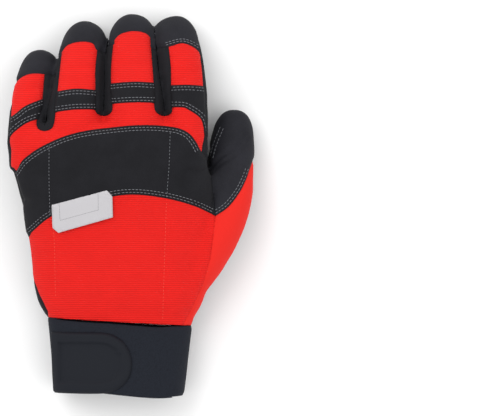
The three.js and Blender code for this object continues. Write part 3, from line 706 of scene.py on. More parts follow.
@dataclass
class HandForm:
    """The glove's outer surface without its cuff: one closed mesh.

    Attributes:
        voxel: size of the remesh, mm.
        softening: how often the remesh is smoothed.
        sides: points round a section.
        stations: sections along a loft.
        palm_roundness: the palm's sections, as squared_off() takes it.
        digit_roundness: the same for the fingers and the thumb.
        least: smallest half width or half height of a section, mm.
        swell, swell_size: height and size of the broad unevenness, mm.
        crumple, crumple_size: the same for the finer one.
        gather, gather_reach, gather_size: depth of the gathers at the wrist, how far they
            run up the hand, and their size, mm.
    """

    voxel: float = 1.05
    softening: int = 5
    sides: int = 56
    stations: int = 34
    palm_roundness: float = 2.5
    digit_roundness: float = 2.25
    least: float = 0.3
    swell: float = 0.32
    swell_size: float = 17.0
    crumple: float = 0.16
    crumple_size: float = 7.5
    gather: float = 0.28
    gather_reach: float = 7.0
    gather_size: float = 1.9

    def loft(self, bm: bmesh.types.BMesh, rings: Sequence[Ring], roundness: float, upright: bool) -> None:
        """Draws a tube of superellipse sections.

        Args:
            bm: where it goes.
            rings: its sections.
            roundness: as squared_off() takes it.
            upright: True for sections that stand across the hand, False for ones that
                stand across the tube's own way.
        """
        table = np.array([(r.x, r.y, r.z, r.wide, r.deep) for r in rings])
        rows = catmull(table, self.stations)
        ahead = np.gradient(rows[:, :3], axis=0)
        loft = Loft(bm, self.sides)
        for row, direction in zip(rows, ahead):
            on = Vector((0, 1, 0)) if upright else Vector(direction).normalized()
            side = Vector((on.y, -on.x, 0)).normalized()
            up = side.cross(on)
            middle = at(*row[:3])
            half_width, half_height = max(row[3], self.least), max(row[4], self.least)

            def place(across: float, over: float) -> Vector:
                """A point of the section.

                Args:
                    across, over: the unit circle's point.

                Returns:
                    The place in metres.
                """
                wide = squared_off(across, roundness) * half_width
                deep = squared_off(over, roundness) * half_height
                return middle + side * wide * MM + up * deep * MM

            loft.section(place)
        loft.close()

    def fold_in(self, fold: Fold, drawn: np.ndarray, facing: np.ndarray, move: np.ndarray) -> None:
        """Adds a fold to the vertices' moves.

        Args:
            fold: the fold.
            drawn: the vertices on the drawing's axes, mm.
            facing: how far up each vertex's normal points, -1 to 1.
            move: how far out each vertex goes, mm; it is changed.
        """
        reach, level = 4 * fold.width, 0.1
        line = resample(smooth_line(fold.points, 1.0), 0.6)
        tree = tree_of([(x, y, 0) for x, y in line])
        side = facing > level if fold.upper else facing < -level
        low, high = line.min(0) - reach, line.max(0) + reach
        near = side & (drawn[:, :2] > low).all(1) & (drawn[:, :2] < high).all(1)
        for i in np.flatnonzero(near):
            gap = tree.find((drawn[i, 0], drawn[i, 1], 0))[2]
            move[i] -= fold.depth * math.exp(-((gap / fold.width) ** 2))

    def displaced(self, mesh: bpy.types.Mesh) -> None:
        """Presses in the folds and a soft unevenness, and flattens what rests.

        Args:
            mesh: the remeshed hand; it is changed.
        """
        co, no = rows_of(mesh.vertices, "co"), rows_of(mesh.vertex_normals, "vector")
        drawn = co / MM - np.array(SHIFT)
        move = np.zeros(len(co))
        for fold in FOLDS:
            self.fold_in(fold, drawn, no[:, 2], move)
        elsewhere = Vector((9, 4, 2))
        for i, p in enumerate(drawn):
            v = Vector(p)
            broad = noise.noise(v / self.swell_size)
            fine = noise.noise(v / self.crumple_size + elsewhere)
            move[i] += self.swell * broad + self.crumple * fine
        x, y = drawn[:, 0], drawn[:, 1]
        uneven = 0.8 * np.sin(x / 5)  # so that no two gathers are alike
        gather = np.exp(-np.clip(y, 0, None) / self.gather_reach) * np.sin(x / self.gather_size + uneven)
        move += self.gather * gather
        co += no * move[:, None] * MM
        co[:, 2] = np.maximum(co[:, 2], FLOOR * MM)
        mesh.vertices.foreach_set("co", co.astype(np.float32).ravel())
        mesh.update()

    def remeshed(self) -> bpy.types.Mesh:
        """The palm, fingers, thumb and web as one even mesh.

        Returns:
            The mesh, smoothed.
        """
        bm = bmesh.new()
        self.loft(bm, PALM, self.palm_roundness, upright=True)
        for rings in DIGITS.values():
            self.loft(bm, rings, self.digit_roundness, upright=False)
        bmesh.ops.recalc_face_normals(bm, faces=bm.faces)
        rough = link("rough", mesh_of(bm, "rough"))
        remesh = rough.modifiers.new("remesh", "REMESH")
        remesh.mode = "VOXEL"
        remesh.voxel_size = self.voxel * MM
        mesh = evaluated(rough)
        bpy.data.objects.remove(rough)
        bm = bmesh.new()
        bm.from_mesh(mesh)
        for _ in range(self.softening):
            bmesh.ops.smooth_vert(
                bm, verts=bm.verts, factor=0.5, use_axis_x=True, use_axis_y=True, use_axis_z=True
            )
        bm.to_mesh(mesh)
        bm.free()
        return mesh

    def build(self) -> Solid:
        """The finished form.

        Returns:
            The surface, marked SURFACE, with a slot between each two fingers.
        """
        mesh = self.remeshed()
        self.displaced(mesh)
        bm = bmesh.new()
        bm.from_mesh(mesh)
        form = Solid.of(bm, Solid.SURFACE)
        log.info("form: %d vertices", len(form.obj.data.vertices))
        for rows in CREASES.values():
            start = (rows[0].x, rows[0].y + WEB_AHEAD)
            beyond_round_end = [(r.x, r.y) for r in rows[3:]]
            line = smooth_line([start, *beyond_round_end], 4)
            outline = beside_line(line, SLOT_HALF) + beside_line(line, -SLOT_HALF)[::-1]
            form = form.less(Solid.plan(outline, mark=Solid.SURFACE))
        return form


# The pattern: which part of the form each piece takes


@dataclass
class Pattern:
    """Region solids that the pieces are cut with, as in the glove's sewing pattern.

    It holds the digits' side seams, each digit's zone seen from above, what of a zone lies
    over and under the side seam, and both halves of the hand in front of the cuff.

    Attributes:
        wrist_slope: how much the hand's lower edge rises across the glove, mm a mm.
        wrist_level: how far left of the wrist's middle that edge is at y = 0, mm.
        patch_inset: how far a fingertip's patch stays inside its finger, mm.
        patch_least: the least half width of such a patch, mm.
    """

    wrist_slope: float = -0.056
    wrist_level: float = 20.0
    patch_inset: float = 1.6
    patch_least: float = 0.5

    def __post_init__(self) -> None:
        """Draws the seams, the zones and what lies above and below the side seams."""
        self.seams = {
            name: (OUTER_SEAM if name == "pinky" else PALM_SEAM)
            + self.tail([r for r in DIGITS[name] if r.y > SHARED_SEAM], SEAM_DROP)
            for name in FINGERS
        }
        self.seams["index"] = INDEX_SEAM + self.tail(DIGITS["index"][-2:], SEAM_DROP)
        self.seams["thumb"] = self.tail(DIGITS["thumb"], THUMB_SEAM_DROP)
        self.zones = self.parted()
        self.above = {name: zone.both(self.beside(name, 1)) for name, zone in self.zones.items()}
        self.below = {name: zone.both(self.beside(name, -1)) for name, zone in self.zones.items()}
        middle = PALM[1].x - self.wrist_level
        low, high = (self.wrist_slope * (end - middle) for end in (-HALF, HALF))
        self.hand = Solid.plan([(-HALF, low), (HALF, high), (HALF, HALF), (-HALF, HALF)])
        self.hand_above = joined([self.above[n] for n in FINGERS]).both(self.hand)
        self.hand_below = joined([self.below[n] for n in (*FINGERS, "thumb")]).both(self.hand)

    @staticmethod
    def tail(rings: Sequence[Ring], drop: float) -> list[Point]:
        """A side seam's y, z points along a digit, drop half heights under its middle."""
        return [(r.y, r.z - drop * r.deep) for r in rings]

    @staticmethod
    def parted() -> dict[str, Solid]:
        """The glove seen from above, parted along the creases and the thumb's line.

        Returns:
            Each digit's zone, down to the wrist, by name.
        """
        creases = {
            name: [(rows[0].x, -HALF), *((r.x, r.y) for r in rows), (rows[-1].x, HALF)]
            for name, rows in CREASES.items()
        }
        lines = [
            [(-HALF, -HALF), (-HALF, HALF)],
            *(creases[name] for name in ("pinky_ring", "ring_middle", "middle_index")),
            [(THUMB_LINE[0][0], -HALF), *THUMB_LINE, (THUMB_LINE[-1][0], HALF)],
            [(HALF, -HALF), (HALF, HALF)],
        ]
        return {
            name: Solid.plan(left + right[::-1])
            for name, left, right in zip((*FINGERS, "thumb"), lines, lines[1:])
        }

    def beside(self, name: str, side: int) -> Solid:
        """All that lies over or under a side seam.

        Args:
            name: the digit whose seam it is.
            side: 1 for over, -1 for under.

        Returns:
            The region.
        """
        line = self.seams[name]
        far = side * HALF
        return Solid.profile([
            (-HALF, far), (-HALF, line[0][1]), *line, (HALF, line[-1][1]), (HALF, far),
        ])

    def beyond(self, line: Sequence[Point], side: int) -> Solid:
        """All that lies on one side of a line across.

        Args:
            line: the line, from left to right.
            side: 1 for the tip's side, -1 for the palm's.

        Returns:
            The region.
        """
        far = side * HALF
        return Solid.plan([(-HALF, line[0][1]), *line, (HALF, line[-1][1]), (HALF, far), (-HALF, far)])

    def cap(self, name: str, side: int = 1) -> Solid:
        """A fingertip cap's region, or with side -1 the rest of that finger's zone."""
        return self.zones[name].both(self.beyond(smooth_line(CAP_EDGE[name], 1.0), side))

    def gusset(self, name: str) -> Solid:
        """The region of the gusset round a crease.

        Args:
            name: the crease.

        Returns:
            The region.
        """
        rows = CREASES[name]
        left = smooth_line([(r.x - r.left, r.y) for r in rows])
        right = smooth_line([(r.x + r.right, r.y) for r in rows])
        return Solid.plan(left + right[:0:-1])

    def thumb_cap(self) -> Solid:
        """The region of the leather round the thumb.

        Returns:
            The region.
        """
        start = THUMB_CAP_LINE[0][1]
        edge = [p for p in THUMB_LINE if p[1] > start]
        return Solid.plan([*smooth_line(THUMB_CAP_LINE), (HALF, HALF), (edge[-1][0], HALF), *edge[::-1]])

    def tip_patch(self, name: str) -> Solid:
        """The region of the patch under a fingertip.

        Args:
            name: the finger.

        Returns:
            The region.
        """
        finger = DIGITS[name][2:]  # its first two sections lie in the hand
        halves = [(r, max(r.wide - self.patch_inset, self.patch_least)) for r in finger]
        left = [(r.x - half, r.y) for r, half in halves]
        right = [(r.x + half, r.y) for r, half in halves]
        return Solid.plan(left + right[::-1]).both(self.beyond([(0, TIP_PATCH[name])], 1))


# Finishes

Colour = tuple[float, float, float, float]
Socket = bpy.types.NodeSocket
Tree = bpy.types.NodeTree


def linear(colour: str) -> Colour:
    """An sRGB hex colour as linear RGBA."""
    parts = [int(colour[i : i + 2], 16) / 255 for i in (1, 3, 5)]
    return (*(c / 12.92 if c <= 0.04045 else ((c + 0.055) / 1.055) ** 2.4 for c in parts), 1.0)


def scale_for(size: float) -> float:
    """The scale at which a pattern's unit is size millimetres across."""
    return 1 / (size * MM)


def add(
    tree: Tree, kind: str, inputs: dict[str | int, object] | None = None, **settings: object
) -> bpy.types.bpy_prop_collection:
    """Adds a shader node with its settings and links.

    Args:
        tree: the material's node tree.
        kind: the node's type name, without ShaderNode.
        inputs: values, or sockets to link, by input name or number.
        settings: the node's own settings.

    Returns:
        The node's outputs.
    """
    node = tree.nodes.new("ShaderNode" + kind)
    for key, value in settings.items():
        setattr(node, key, value)
    for key, value in (inputs or {}).items():
        if isinstance(value, Socket):
            tree.links.new(value, node.inputs[key])
        else:
            node.inputs[key].default_value = value
    return node.outputs


@dataclass(frozen=True)
class Finish:
    """A material: two colours mixed by a pattern that raises its surface too.

    Attributes:
        name: the real material's name.
        colour: its colour, sRGB hex.
        roughness: its roughness.
        second: the colour that the pattern brings in, sRGB hex.
        share: how much of it shows where the pattern is full.
        depth: the pattern's height, mm.
    """

    name: str
    colour: str
    roughness: float
    second: str
    share: float
    depth: float

    SPECULAR: ClassVar[float] = 0.22  # cloth and suede shine less than the shader's usual 0.5
    MIX: ClassVar[tuple[int, int, int]] = (0, 6, 7)  # a colour mix's factor and two colours
    MIXED: ClassVar[int] = 2  # its result
    GRAIN: ClassVar[dict[str, float]] = {"Roughness": 0.6}  # finer grains stay clear beside coarse ones

    def ground(self, tree: Tree, place: Socket) -> Colour | Socket:
        """The first colour, as a value or a socket."""
        return linear(self.colour)

    def pattern(self, tree: Tree, place: Socket) -> tuple[Socket, Socket]:
        """How much of the second colour shows, and the surface's height.

        Args:
            tree: the material's node tree.
            place: the object coordinates.

        Returns:
            Both, from about 0 to 1.
        """
        raise NotImplementedError

    def build(self) -> bpy.types.Material:
        """Makes the material.

        Returns:
            The material.
        """
        material = bpy.data.materials.new(self.name)
        material.use_nodes = True
        tree = material.node_tree
        tree.nodes.clear()
        place = add(tree, "TexCoord")["Object"]
        strength, height = self.pattern(tree, place)
        factor = add(tree, "Math", {0: strength, 1: self.share}, operation="MULTIPLY")[0]
        colours = (factor, self.ground(tree, place), linear(self.second))
        colour = add(tree, "Mix", dict(zip(self.MIX, colours)), data_type="RGBA")[self.MIXED]
        bump = add(tree, "Bump", {"Strength": 1.0, "Distance": self.depth * MM, "Height": height})["Normal"]
        shader = add(tree, "BsdfPrincipled", {
            "Base Color": colour, "Roughness": self.roughness, "Normal": bump,
            "Specular IOR Level": self.SPECULAR,
        })["BSDF"]
        add(tree, "OutputMaterial", {"Surface": shader})
        return material


@dataclass(frozen=True)
class RibKnit(Finish):
    """Stretch knit with fine ribs across the hand: bright cords, with painted shade in a darker red between
    them.

    Attributes:
        rib: from one rib to the next, mm.
        cloud, clouding: size of the darker clouds, mm, and how much of the second colour
            they bring in.
        loop, looping: size of the loops on the cords, mm, and their height beside a rib's.
        wander: how much the ribs stray from straight.
    """

    # second and share: the darker red that is painted shade where the ribs dip, also the colour of the
    # darker clouds
    second: str = "#A81210"
    share: float = 0.42
    depth: float = 0.3
    rib: float = 1.05
    cloud: float = 9.0
    clouding: float = 0.25
    loop: float = 0.35
    looping: float = 0.35
    wander: float = 0.6

    WAVES_A_UNIT: ClassVar[float] = 20 / (2 * math.pi)  # a wave texture's bands at scale 1

    def ground(self, tree: Tree, place: Socket) -> Socket:
        """The bright red with its darker clouds.

        Args:
            tree: the material's node tree.
            place: the object coordinates.

        Returns:
            The colour.
        """
        clouds = add(tree, "TexNoise", {
            "Vector": place, "Scale": scale_for(self.cloud), "Detail": 3, **self.GRAIN,
        })["Fac"]
        factor = add(tree, "Math", {0: clouds, 1: self.clouding}, operation="MULTIPLY")[0]
        colours = (factor, linear(self.colour), linear(self.second))
        return add(tree, "Mix", dict(zip(self.MIX, colours)), data_type="RGBA")[self.MIXED]

    def pattern(self, tree: Tree, place: Socket) -> tuple[Socket, Socket]:
        """Painted shade where the ribs dip, and the ribs with their loops.

        Args:
            tree: the material's node tree.
            place: the object coordinates.

        Returns:
            The painted shade's strength, and the height.
        """
        ribs = add(tree, "TexWave", {
            "Vector": place, "Scale": scale_for(self.rib) / self.WAVES_A_UNIT, "Distortion": self.wander,
            "Detail": 1.0, "Detail Scale": self.wander,
        }, wave_type="BANDS", bands_direction="Y", wave_profile="SIN")["Fac"]
        loops = add(tree, "TexNoise", {
            "Vector": place, "Scale": scale_for(self.loop), "Detail": 2, **self.GRAIN,
        })["Fac"]
        # painted shade: the darker red comes in where the ribs dip
        painted_rib_shade = add(tree, "Math", {0: 1.0, 1: ribs}, operation="SUBTRACT")[0]
        height = add(tree, "Math", {0: loops, 1: self.looping, 2: ribs}, operation="MULTIPLY_ADD")[0]
        return painted_rib_shade, height


@dataclass(frozen=True)
class FineGrain(Finish):
    """A surface with one fine grain, which mixes its colours and roughens it.

    Attributes:
        grain: the grain's size, mm.
        detail: how many finer grains it holds.
    """

    grain: float
    detail: float

    def pattern(self, tree: Tree, place: Socket) -> tuple[Socket, Socket]:
        """The grain, as strength and height."""
        fine = add(tree, "TexNoise", {
            "Vector": place, "Scale": scale_for(self.grain), "Detail": self.detail, **self.GRAIN,
        })["Fac"]
        return fine, fine


@dataclass(frozen=True)
class PlainKnit(FineGrain):
    """Smooth jersey of the thumb's side: fine loops that only soften the light."""

    second: str = "#C9241E"
    share: float = 0.4
    depth: float = 0.12
    grain: float = 0.45
    detail: float = 3


@dataclass(frozen=True)
class Suede(FineGrain):
    """Synthetic leather with a brushed face: matt black with a faint grey nap.

    Attributes:
        patch: size of the patches in which the nap lies one way, mm.
    """

    second: str = "#26262B"
    share: float = 0.9
    depth: float = 0.1
    grain: float = 0.5
    detail: float = 3
    patch: float = 11.0

    def pattern(self, tree: Tree, place: Socket) -> tuple[Socket, Socket]:
        """The nap, stronger in patches.

        Args:
            tree: the material's node tree.
            place: the object coordinates.

        Returns:
            Strength and height.
        """
        fine, height = super().pattern(tree, place)
        patches = add(tree, "TexNoise", {
            "Vector": place, "Scale": scale_for(self.patch), "Detail": self.detail, **self.GRAIN,
        })["Fac"]
        return add(tree, "Math", {0: fine, 1: patches}, operation="MULTIPLY")[0], height


@dataclass(frozen=True)
class FoamCloth(Finish):
    """Foam-backed cloth of the cuff: dark blue-black jersey with a tight weave.

    Attributes:
        cell: a loop's size, mm, drawn coarser than it is so that it shows.
    """

    second: str = "#0D1018"
    share: float = 0.7
    depth: float = 0.08
    cell: float = 0.7

    def pattern(self, tree: Tree, place: Socket) -> tuple[Socket, Socket]:
        """The loops, as strength and height."""
        cells = add(tree, "TexVoronoi", {"Vector": place, "Scale": scale_for(self.cell)})["Distance"]
        return cells, cells


@dataclass(frozen=True)
class MouldedRubber(FineGrain):
    """Moulded strap: smooth dark rubber with a fine grain."""

    second: str = "#191D25"
    share: float = 0.4
    depth: float = 0.04
    grain: float = 0.6
    detail: float = 2


@dataclass(frozen=True)
class WovenTape(Finish):
    """Woven satin tape of the label: pale grey with a thread grid too fine to see as lines.

    Attributes:
        thread: a thread's width, mm.
    """

    second: str = "#ACAAAE"
    share: float = 0.25
    depth: float = 0.05
    thread: float = 0.4

    def pattern(self, tree: Tree, place: Socket) -> tuple[Socket, Socket]:
        """The weave, as strength and height."""
        weave = add(tree, "TexChecker", {"Vector": place, "Scale": scale_for(self.thread)})["Fac"]
        return weave, weave


@dataclass(frozen=True)
class Thread(FineGrain):
    """Twisted sewing thread: one matt colour with a paler fleck."""

    second: str = "#8F9196"
    share: float = 0.5
    depth: float = 0.02
    grain: float = 0.2
    detail: float = 2


class Material(Enum):
    """The finishes by their use."""

    KNIT = RibKnit("red_rib_knit", "#F4201A", 0.9)
    JERSEY = PlainKnit("red_jersey", "#E2261D", 0.9)
    LEATHER = Suede("black_microfibre_suede", "#0E0E12", 0.85)
    TIP = Suede("fingertip_microfibre_suede", "#16161B", 0.8, second="#33333B")
    CUFF = FoamCloth("foam_backed_jersey", "#1C2029", 0.85)
    STRAP = MouldedRubber("moulded_rubber", "#0F121A", 0.7)
    TAPE = WovenTape("woven_satin_tape", "#C2C0C3", 0.8)
    INK = Thread("printed_ink", "#4A4A50", 0.8)
    THREAD = Thread("grey_sewing_thread", "#6C6E73", 0.8)
    RED_THREAD = Thread("red_sewing_thread", "#E8453A", 0.8, second="#F26A58")

    def material(self) -> bpy.types.Material:
        """The Blender material, made on first use."""
        return bpy.data.materials.get(self.value.name) or self.value.build()


# Dressed pieces


@dataclass
class Relief:
    """How far a piece stands from the form, by the distance from its own edge.

    Attributes:
        edge: height at the edge, mm.
        rise: height inside, mm.
        fall: how quickly it gets there, mm.
        border, sink: a step down by sink beyond border millimetres.
        step: half the width of that step, mm.
        thick: the piece's thickness, mm.
    """

    edge: float = -0.55
    rise: float = 0.1
    fall: float = 1.5
    border: float = 0.0
    sink: float = 0.0
    step: float = 0.35
    thick: float = 1.1

    def height(self, gap: np.ndarray) -> np.ndarray:
        """Heights over the form.

        Args:
            gap: distances from the edge, mm.

        Returns:
            One height a distance, mm.
        """
        h = self.edge + (self.rise - self.edge) * (1 - np.exp(-((gap / self.fall) ** 2)))
        if self.sink:
            h -= self.sink * smoothstep(self.border - self.step, self.border + self.step, gap)
        return h


PANEL = Relief()
THUMB = Relief(edge=-0.4, rise=0.45, fall=1.6)
GUSSET = Relief(edge=-0.35, rise=0.55, fall=1.3)
CAP = Relief(edge=-0.5, rise=0.3, fall=1.4)
BAND = Relief(edge=0.15, rise=0.95, fall=1.3, thick=0.8)
PAD = Relief(edge=0.2, rise=1.75, fall=2.4, thick=1.0)
TAG = Relief(edge=1.7, rise=2.0, fall=0.8, thick=0.5)
PATCH = Relief(edge=0.1, rise=0.9, fall=1.2, thick=0.7)
SLEEVE = Relief(edge=-0.7, rise=-0.05, fall=1.3, thick=2.0)
CLOSING = Relief(edge=0.3, rise=1.75, fall=0.8, border=6.0, sink=1.1, thick=1.0)


@dataclass
class Piece:
    """One sewn piece: a patch of the form, raised and given thickness.

    Attributes:
        name: the piece's name.
        region: what it keeps of the form.
        material: its finish.
        relief: its height and thickness.
        replaces: the CAD nodes it stands for.
        slot: the record's material slot; not used.
        merge: vertices nearer than this are made one, mm.
        hole: the most edges of a hole that is closed.
        obj: the finished object.
        tree: finds its outer surface, for the stitches.
    """

    name: str
    region: Solid
    material: Material
    relief: Relief
    replaces: tuple[str, ...]
    slot: str
    merge: float = 0.22
    hole: int = 8
    obj: bpy.types.Object | None = None
    tree: BVHTree | None = None

    def build(self, form: Solid) -> Piece:
        """Cuts, raises and thickens the piece.

        Args:
            form: the closed surface it is cut from.

        Returns:
            The piece itself.
        """
        bm = self.cut(form)
        self.lift(bm, form)
        self.tree = BVHTree.FromBMesh(bm)
        self.thicken(bm, form)
        mesh = mesh_of(bm, self.name)
        mesh.materials.append(self.material.material())
        self.obj = link(self.name, mesh)
        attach(self.obj, BODY)
        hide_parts(*self.replaces)
        log.info("%s: %d vertices", self.name, len(mesh.vertices))
        return self

    def cut(self, form: Solid) -> bmesh.types.BMesh:
        """The piece's patch of the form.

        Args:
            form: the closed surface.

        Returns:
            One open surface, cleaned along its edge.
        """
        bm = bmesh.new()
        bm.from_mesh(form.both(self.region).obj.data)
        own = [f for f in bm.faces if f.material_index == Solid.CUT]
        bmesh.ops.delete(bm, geom=own, context="FACES")
        bmesh.ops.remove_doubles(bm, verts=bm.verts, dist=self.merge * MM)
        self.keep_largest(bm)
        bmesh.ops.holes_fill(bm, edges=[e for e in bm.edges if e.is_boundary], sides=self.hole)
        bmesh.ops.smooth_vert(
            bm, verts=[v for v in bm.verts if not v.is_boundary], factor=0.5,
            use_axis_x=True, use_axis_y=True, use_axis_z=True,
        )
        bm.normal_update()
        return bm

    @staticmethod
    def keep_largest(bm: bmesh.types.BMesh) -> None:
        """Deletes all but the largest connected part.

        Args:
            bm: the surface.
        """
        left = set(bm.verts)
        parts = []
        while left:
            stack = [left.pop()]
            part = set(stack)
            while stack:
                for e in stack.pop().link_edges:
                    new = [v for v in e.verts if v not in part]
                    part.update(new)
                    left.difference_update(new)
                    stack.extend(new)
            parts.append(part)
        parts.sort(key=len)
        for part in parts[:-1]:
            bmesh.ops.delete(bm, geom=list(part), context="VERTS")

    def lift(self, bm: bmesh.types.BMesh, form: Solid) -> None:
        """Raises the surface by its relief.

        Args:
            bm: the surface.
            form: gives the directions.
        """
        edge = [v.co.copy() for v in bm.verts if v.is_boundary]
        edge += [(e.verts[0].co + e.verts[1].co) / 2 for e in bm.edges if e.is_boundary]
        tree = tree_of(edge)
        gap = np.array([0.0 if v.is_boundary else tree.find(v.co)[2] / MM for v in bm.verts])
        for v, height in zip(bm.verts, self.relief.height(gap)):
            v.co += form.direction(v.co) * (float(height) * MM)

    def thicken(self, bm: bmesh.types.BMesh, form: Solid) -> None:
        """Gives the surface its inner face and its edge.

        Args:
            bm: the surface, which becomes closed.
            form: gives the directions.
        """
        wall = bmesh.ops.extrude_face_region(bm, geom=list(bm.faces), use_keep_orig=True)["geom"]
        for v in (g for g in wall if isinstance(g, bmesh.types.BMVert)):
            v.co -= form.direction(v.co) * (self.relief.thick * MM)
        bmesh.ops.recalc_face_normals(bm, faces=bm.faces)
        for face in bm.faces:
            face.material_index = Solid.SURFACE
            face.smooth = True


Hit = tuple[Vector, Vector]  # a place on a surface and the normal there


@dataclass
class Stitches:
    """Rows of short stitches laid on the pieces, joined as one mesh.

    Attributes:
        name: the piece's name.
        length, pitch, radius: a stitch's length, its spacing and the thread's radius, mm.
        material: the thread.
        slot: the record's material slot; not used.
        over, under: heights that rows are looked for from, above and below the glove, mm.
        steepest: a row stops where the surface turns from the view further than this.
        shortest, longest: a stitch outside these lengths is left out, mm.
        turns: where each stitch lies.
    """

    name: str
    length: float = 1.35
    pitch: float = 2.0
    radius: float = 0.19
    material: Material = Material.THREAD
    slot: str = "black_leather"
    over: float = 120.0
    under: float = -60.0
    steepest: float = 0.12
    shortest: float = 0.5
    longest: float = 4.0
    turns: list[Matrix] = field(default_factory=list)

    def runs(self, tree: BVHTree, line: Sequence[Point], upper: bool) -> list[list[Hit]]:
        """The stretches of a row that lie on a surface.

        Args:
            tree: the surface.
            line: the row seen from above, mm.
            upper: True to look down on the glove, False to look up at it.

        Returns:
            The hits along each stretch.
        """
        start, way = (self.over, Vector((0, 0, -1))) if upper else (self.under, Vector((0, 0, 1)))
        runs: list[list[Hit]] = [[]]
        for x, y in resample(line, self.pitch / 5):
            place, normal, _, _ = tree.ray_cast(at(x, y, start), way)
            if place is None or normal.z * way.z > -self.steepest:
                runs.append([])
            else:
                runs[-1].append((place, normal))
        return [run for run in runs if run]

    def row(self, tree: BVHTree, line: Sequence[Point], upper: bool = True, lift: float = 0.05) -> None:
        """Lays one row.

        Args:
            tree: the surface it lies on.
            line: the row seen from above, mm.
            upper: True to look down on the glove, False to look up at it.
            lift: the stitch's middle above the surface, mm.
        """
        for run in self.runs(tree, line, upper):
            begin, travelled, sewn = run[0], 0.0, False
            for before, hit in zip(run, run[1:]):
                travelled += (hit[0] - before[0]).length / MM
                if travelled >= self.length and not sewn:
                    self.stitch(begin, hit, lift)
                    sewn = True
                elif travelled >= self.pitch:
                    begin, travelled, sewn = hit, 0.0, False

    def stitch(self, first: Hit, last: Hit, lift: float) -> None:
        """Adds one stitch.

        Args:
            first: where it starts.
            last: where it ends.
            lift: its middle above the surface, mm.
        """
        ahead = last[0] - first[0]
        length = ahead.length
        if not self.shortest * MM <= length <= self.longest * MM:
            return
        normal = (first[1] + last[1]).normalized()
        ahead.normalize()
        side = normal.cross(ahead).normalized()
        up = ahead.cross(side)
        middle = (first[0] + last[0]) / 2 + normal * lift * MM
        thin = self.radius * MM
        turn = Matrix((side * thin, up * thin, ahead * length / 2)).transposed().to_4x4()
        turn.translation = middle
        self.turns.append(turn)

    def finish(self) -> None:
        """Puts the rows in the scene, as copies of one bead."""
        bead = bmesh.new()
        bmesh.ops.create_uvsphere(bead, u_segments=6, v_segments=5, radius=1.0)
        for face in bead.faces:
            face.smooth = True
        template = mesh_of(bead, "bead")
        rows = bmesh.new()
        for turn in self.turns:
            copy = template.copy()
            copy.transform(turn)
            rows.from_mesh(copy)
            bpy.data.meshes.remove(copy)
        bpy.data.meshes.remove(template)
        mesh = mesh_of(rows, self.name)
        mesh.materials.append(self.material.material())
        obj = link(self.name, mesh)
        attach(obj, BODY)
        log.info("%s: %d stitches", self.name, len(self.turns))


@dataclass
class Assembly:
    """Pieces cut from one form.

    Attributes:
        form: the closed surface.
        pattern: the regions.
        pieces: the finished pieces by name.
    """

    form: Solid
    pattern: Pattern
    pieces: dict[str, Piece] = field(default_factory=dict)

    def piece(
        self, name: str, region: Solid, material: Material, relief: Relief, slot: str, *nodes: str
    ) -> Piece:
        """Builds a piece and keeps it.

        Args:
            name: the piece's name.
            region: what it keeps of the form.
            material: its finish.
            relief: its height and thickness.
            slot: the record's material slot.
            nodes: the CAD nodes it stands for.

        Returns:
            The piece.
        """
        made = Piece(name, region, material, relief, nodes, slot).build(self.form)
        self.pieces[name] = made
        return made


@dataclass
class Back(Assembly):
    """The back of the hand: knit, thumb, gussets, caps, knuckle bands, pad and label.

    Attributes:
        padding: how full the quilted pad is; not used.
    """

    padding: float = 0.6

    def build(self) -> None:
        """All its pieces."""
        gussets = joined([self.pattern.gusset(name) for name in CREASES])
        self.cloth(gussets)
        self.leather(gussets)

    def cloth(self, gussets: Solid) -> None:
        """The knit panels, the leather round the thumb and the gussets.

        Args:
            gussets: the regions of all gussets.
        """
        p = self.pattern
        knit = p.hand_above.both(joined([p.cap(name, -1) for name in FINGERS]))
        self.piece(
            "back_knit_panel", knit.less(gussets), Material.KNIT, PANEL, "red_knit",
            "back_knit", *(f"finger_knit_{name}" for name in FINGERS),
        )
        side = p.above["thumb"].both(p.hand).less(p.thumb_cap())
        self.piece("thumb_side_panel", side, Material.JERSEY, PANEL, "red_knit", "thumb_side_knit")
        wrap = p.above["thumb"].both(p.thumb_cap())
        self.piece("thumb_wrap", wrap, Material.TIP, THUMB, "tip_leather", "thumb_cap")
        for name in CREASES:
            self.piece(
                f"finger_gusset_{name}", knit.both(p.gusset(name)), Material.LEATHER, GUSSET,
                "black_leather", f"gusset_{name}",
            )

    def leather(self, gussets: Solid) -> None:
        """The fingertip caps, the knuckle bands, the pad and the label.

        Args:
            gussets: the regions of all gussets.
        """
        p = self.pattern
        for name in FINGERS:
            cap = p.above[name].both(p.cap(name))
            self.piece(f"tip_cap_{name}", cap, Material.TIP, CAP, "tip_leather", f"fingertip_cap_{name}")
        for name, (top, under) in BANDS.items():
            outline = Solid.plan(smooth_line(top) + smooth_line(under))
            band = p.above[name].both(outline).less(gussets)
            self.piece(f"band_{name}", band, Material.LEATHER, BAND, "black_leather", f"knuckle_band_{name}")
        outline = Solid.plan(smooth_line(PAD_TOP) + smooth_line(PAD_UNDER)[1:])
        pad = self.piece(
            "quilted_pad", p.hand_above.both(outline), Material.LEATHER, PAD, "black_leather", "back_pad"
        )
        label = p.hand_above.both(Solid.plan(LABEL))
        self.piece("blank_label", label, Material.TAPE, TAG, "label_woven", "label")


@dataclass
class Palm(Assembly):
    """The palm side: leather, its sewn patches and the fingertip patches."""

    def build(self) -> None:
        """All its pieces."""
        p = self.pattern
        self.piece(
            "palm_leather_panel", p.hand_below, Material.LEATHER, PANEL, "black_leather",
            "palm_leather", "thumb_leather", *(f"finger_leather_{name}" for name in FINGERS),
        )
        for name, points in PALM_PATCHES.items():
            region = p.hand_below.both(Solid.plan(smooth_line(points, closed=True)))
            self.piece(
                f"palm_{name}_patch", region, Material.TIP, PATCH, "black_leather", f"palm_patch_{name}"
            )
        for name in TIP_PATCH:
            region = p.below[name].both(p.tip_patch(name))
            self.piece(
                f"tip_underside_{name}", region, Material.TIP, PATCH, "tip_leather", f"tip_patch_{name}"
            )


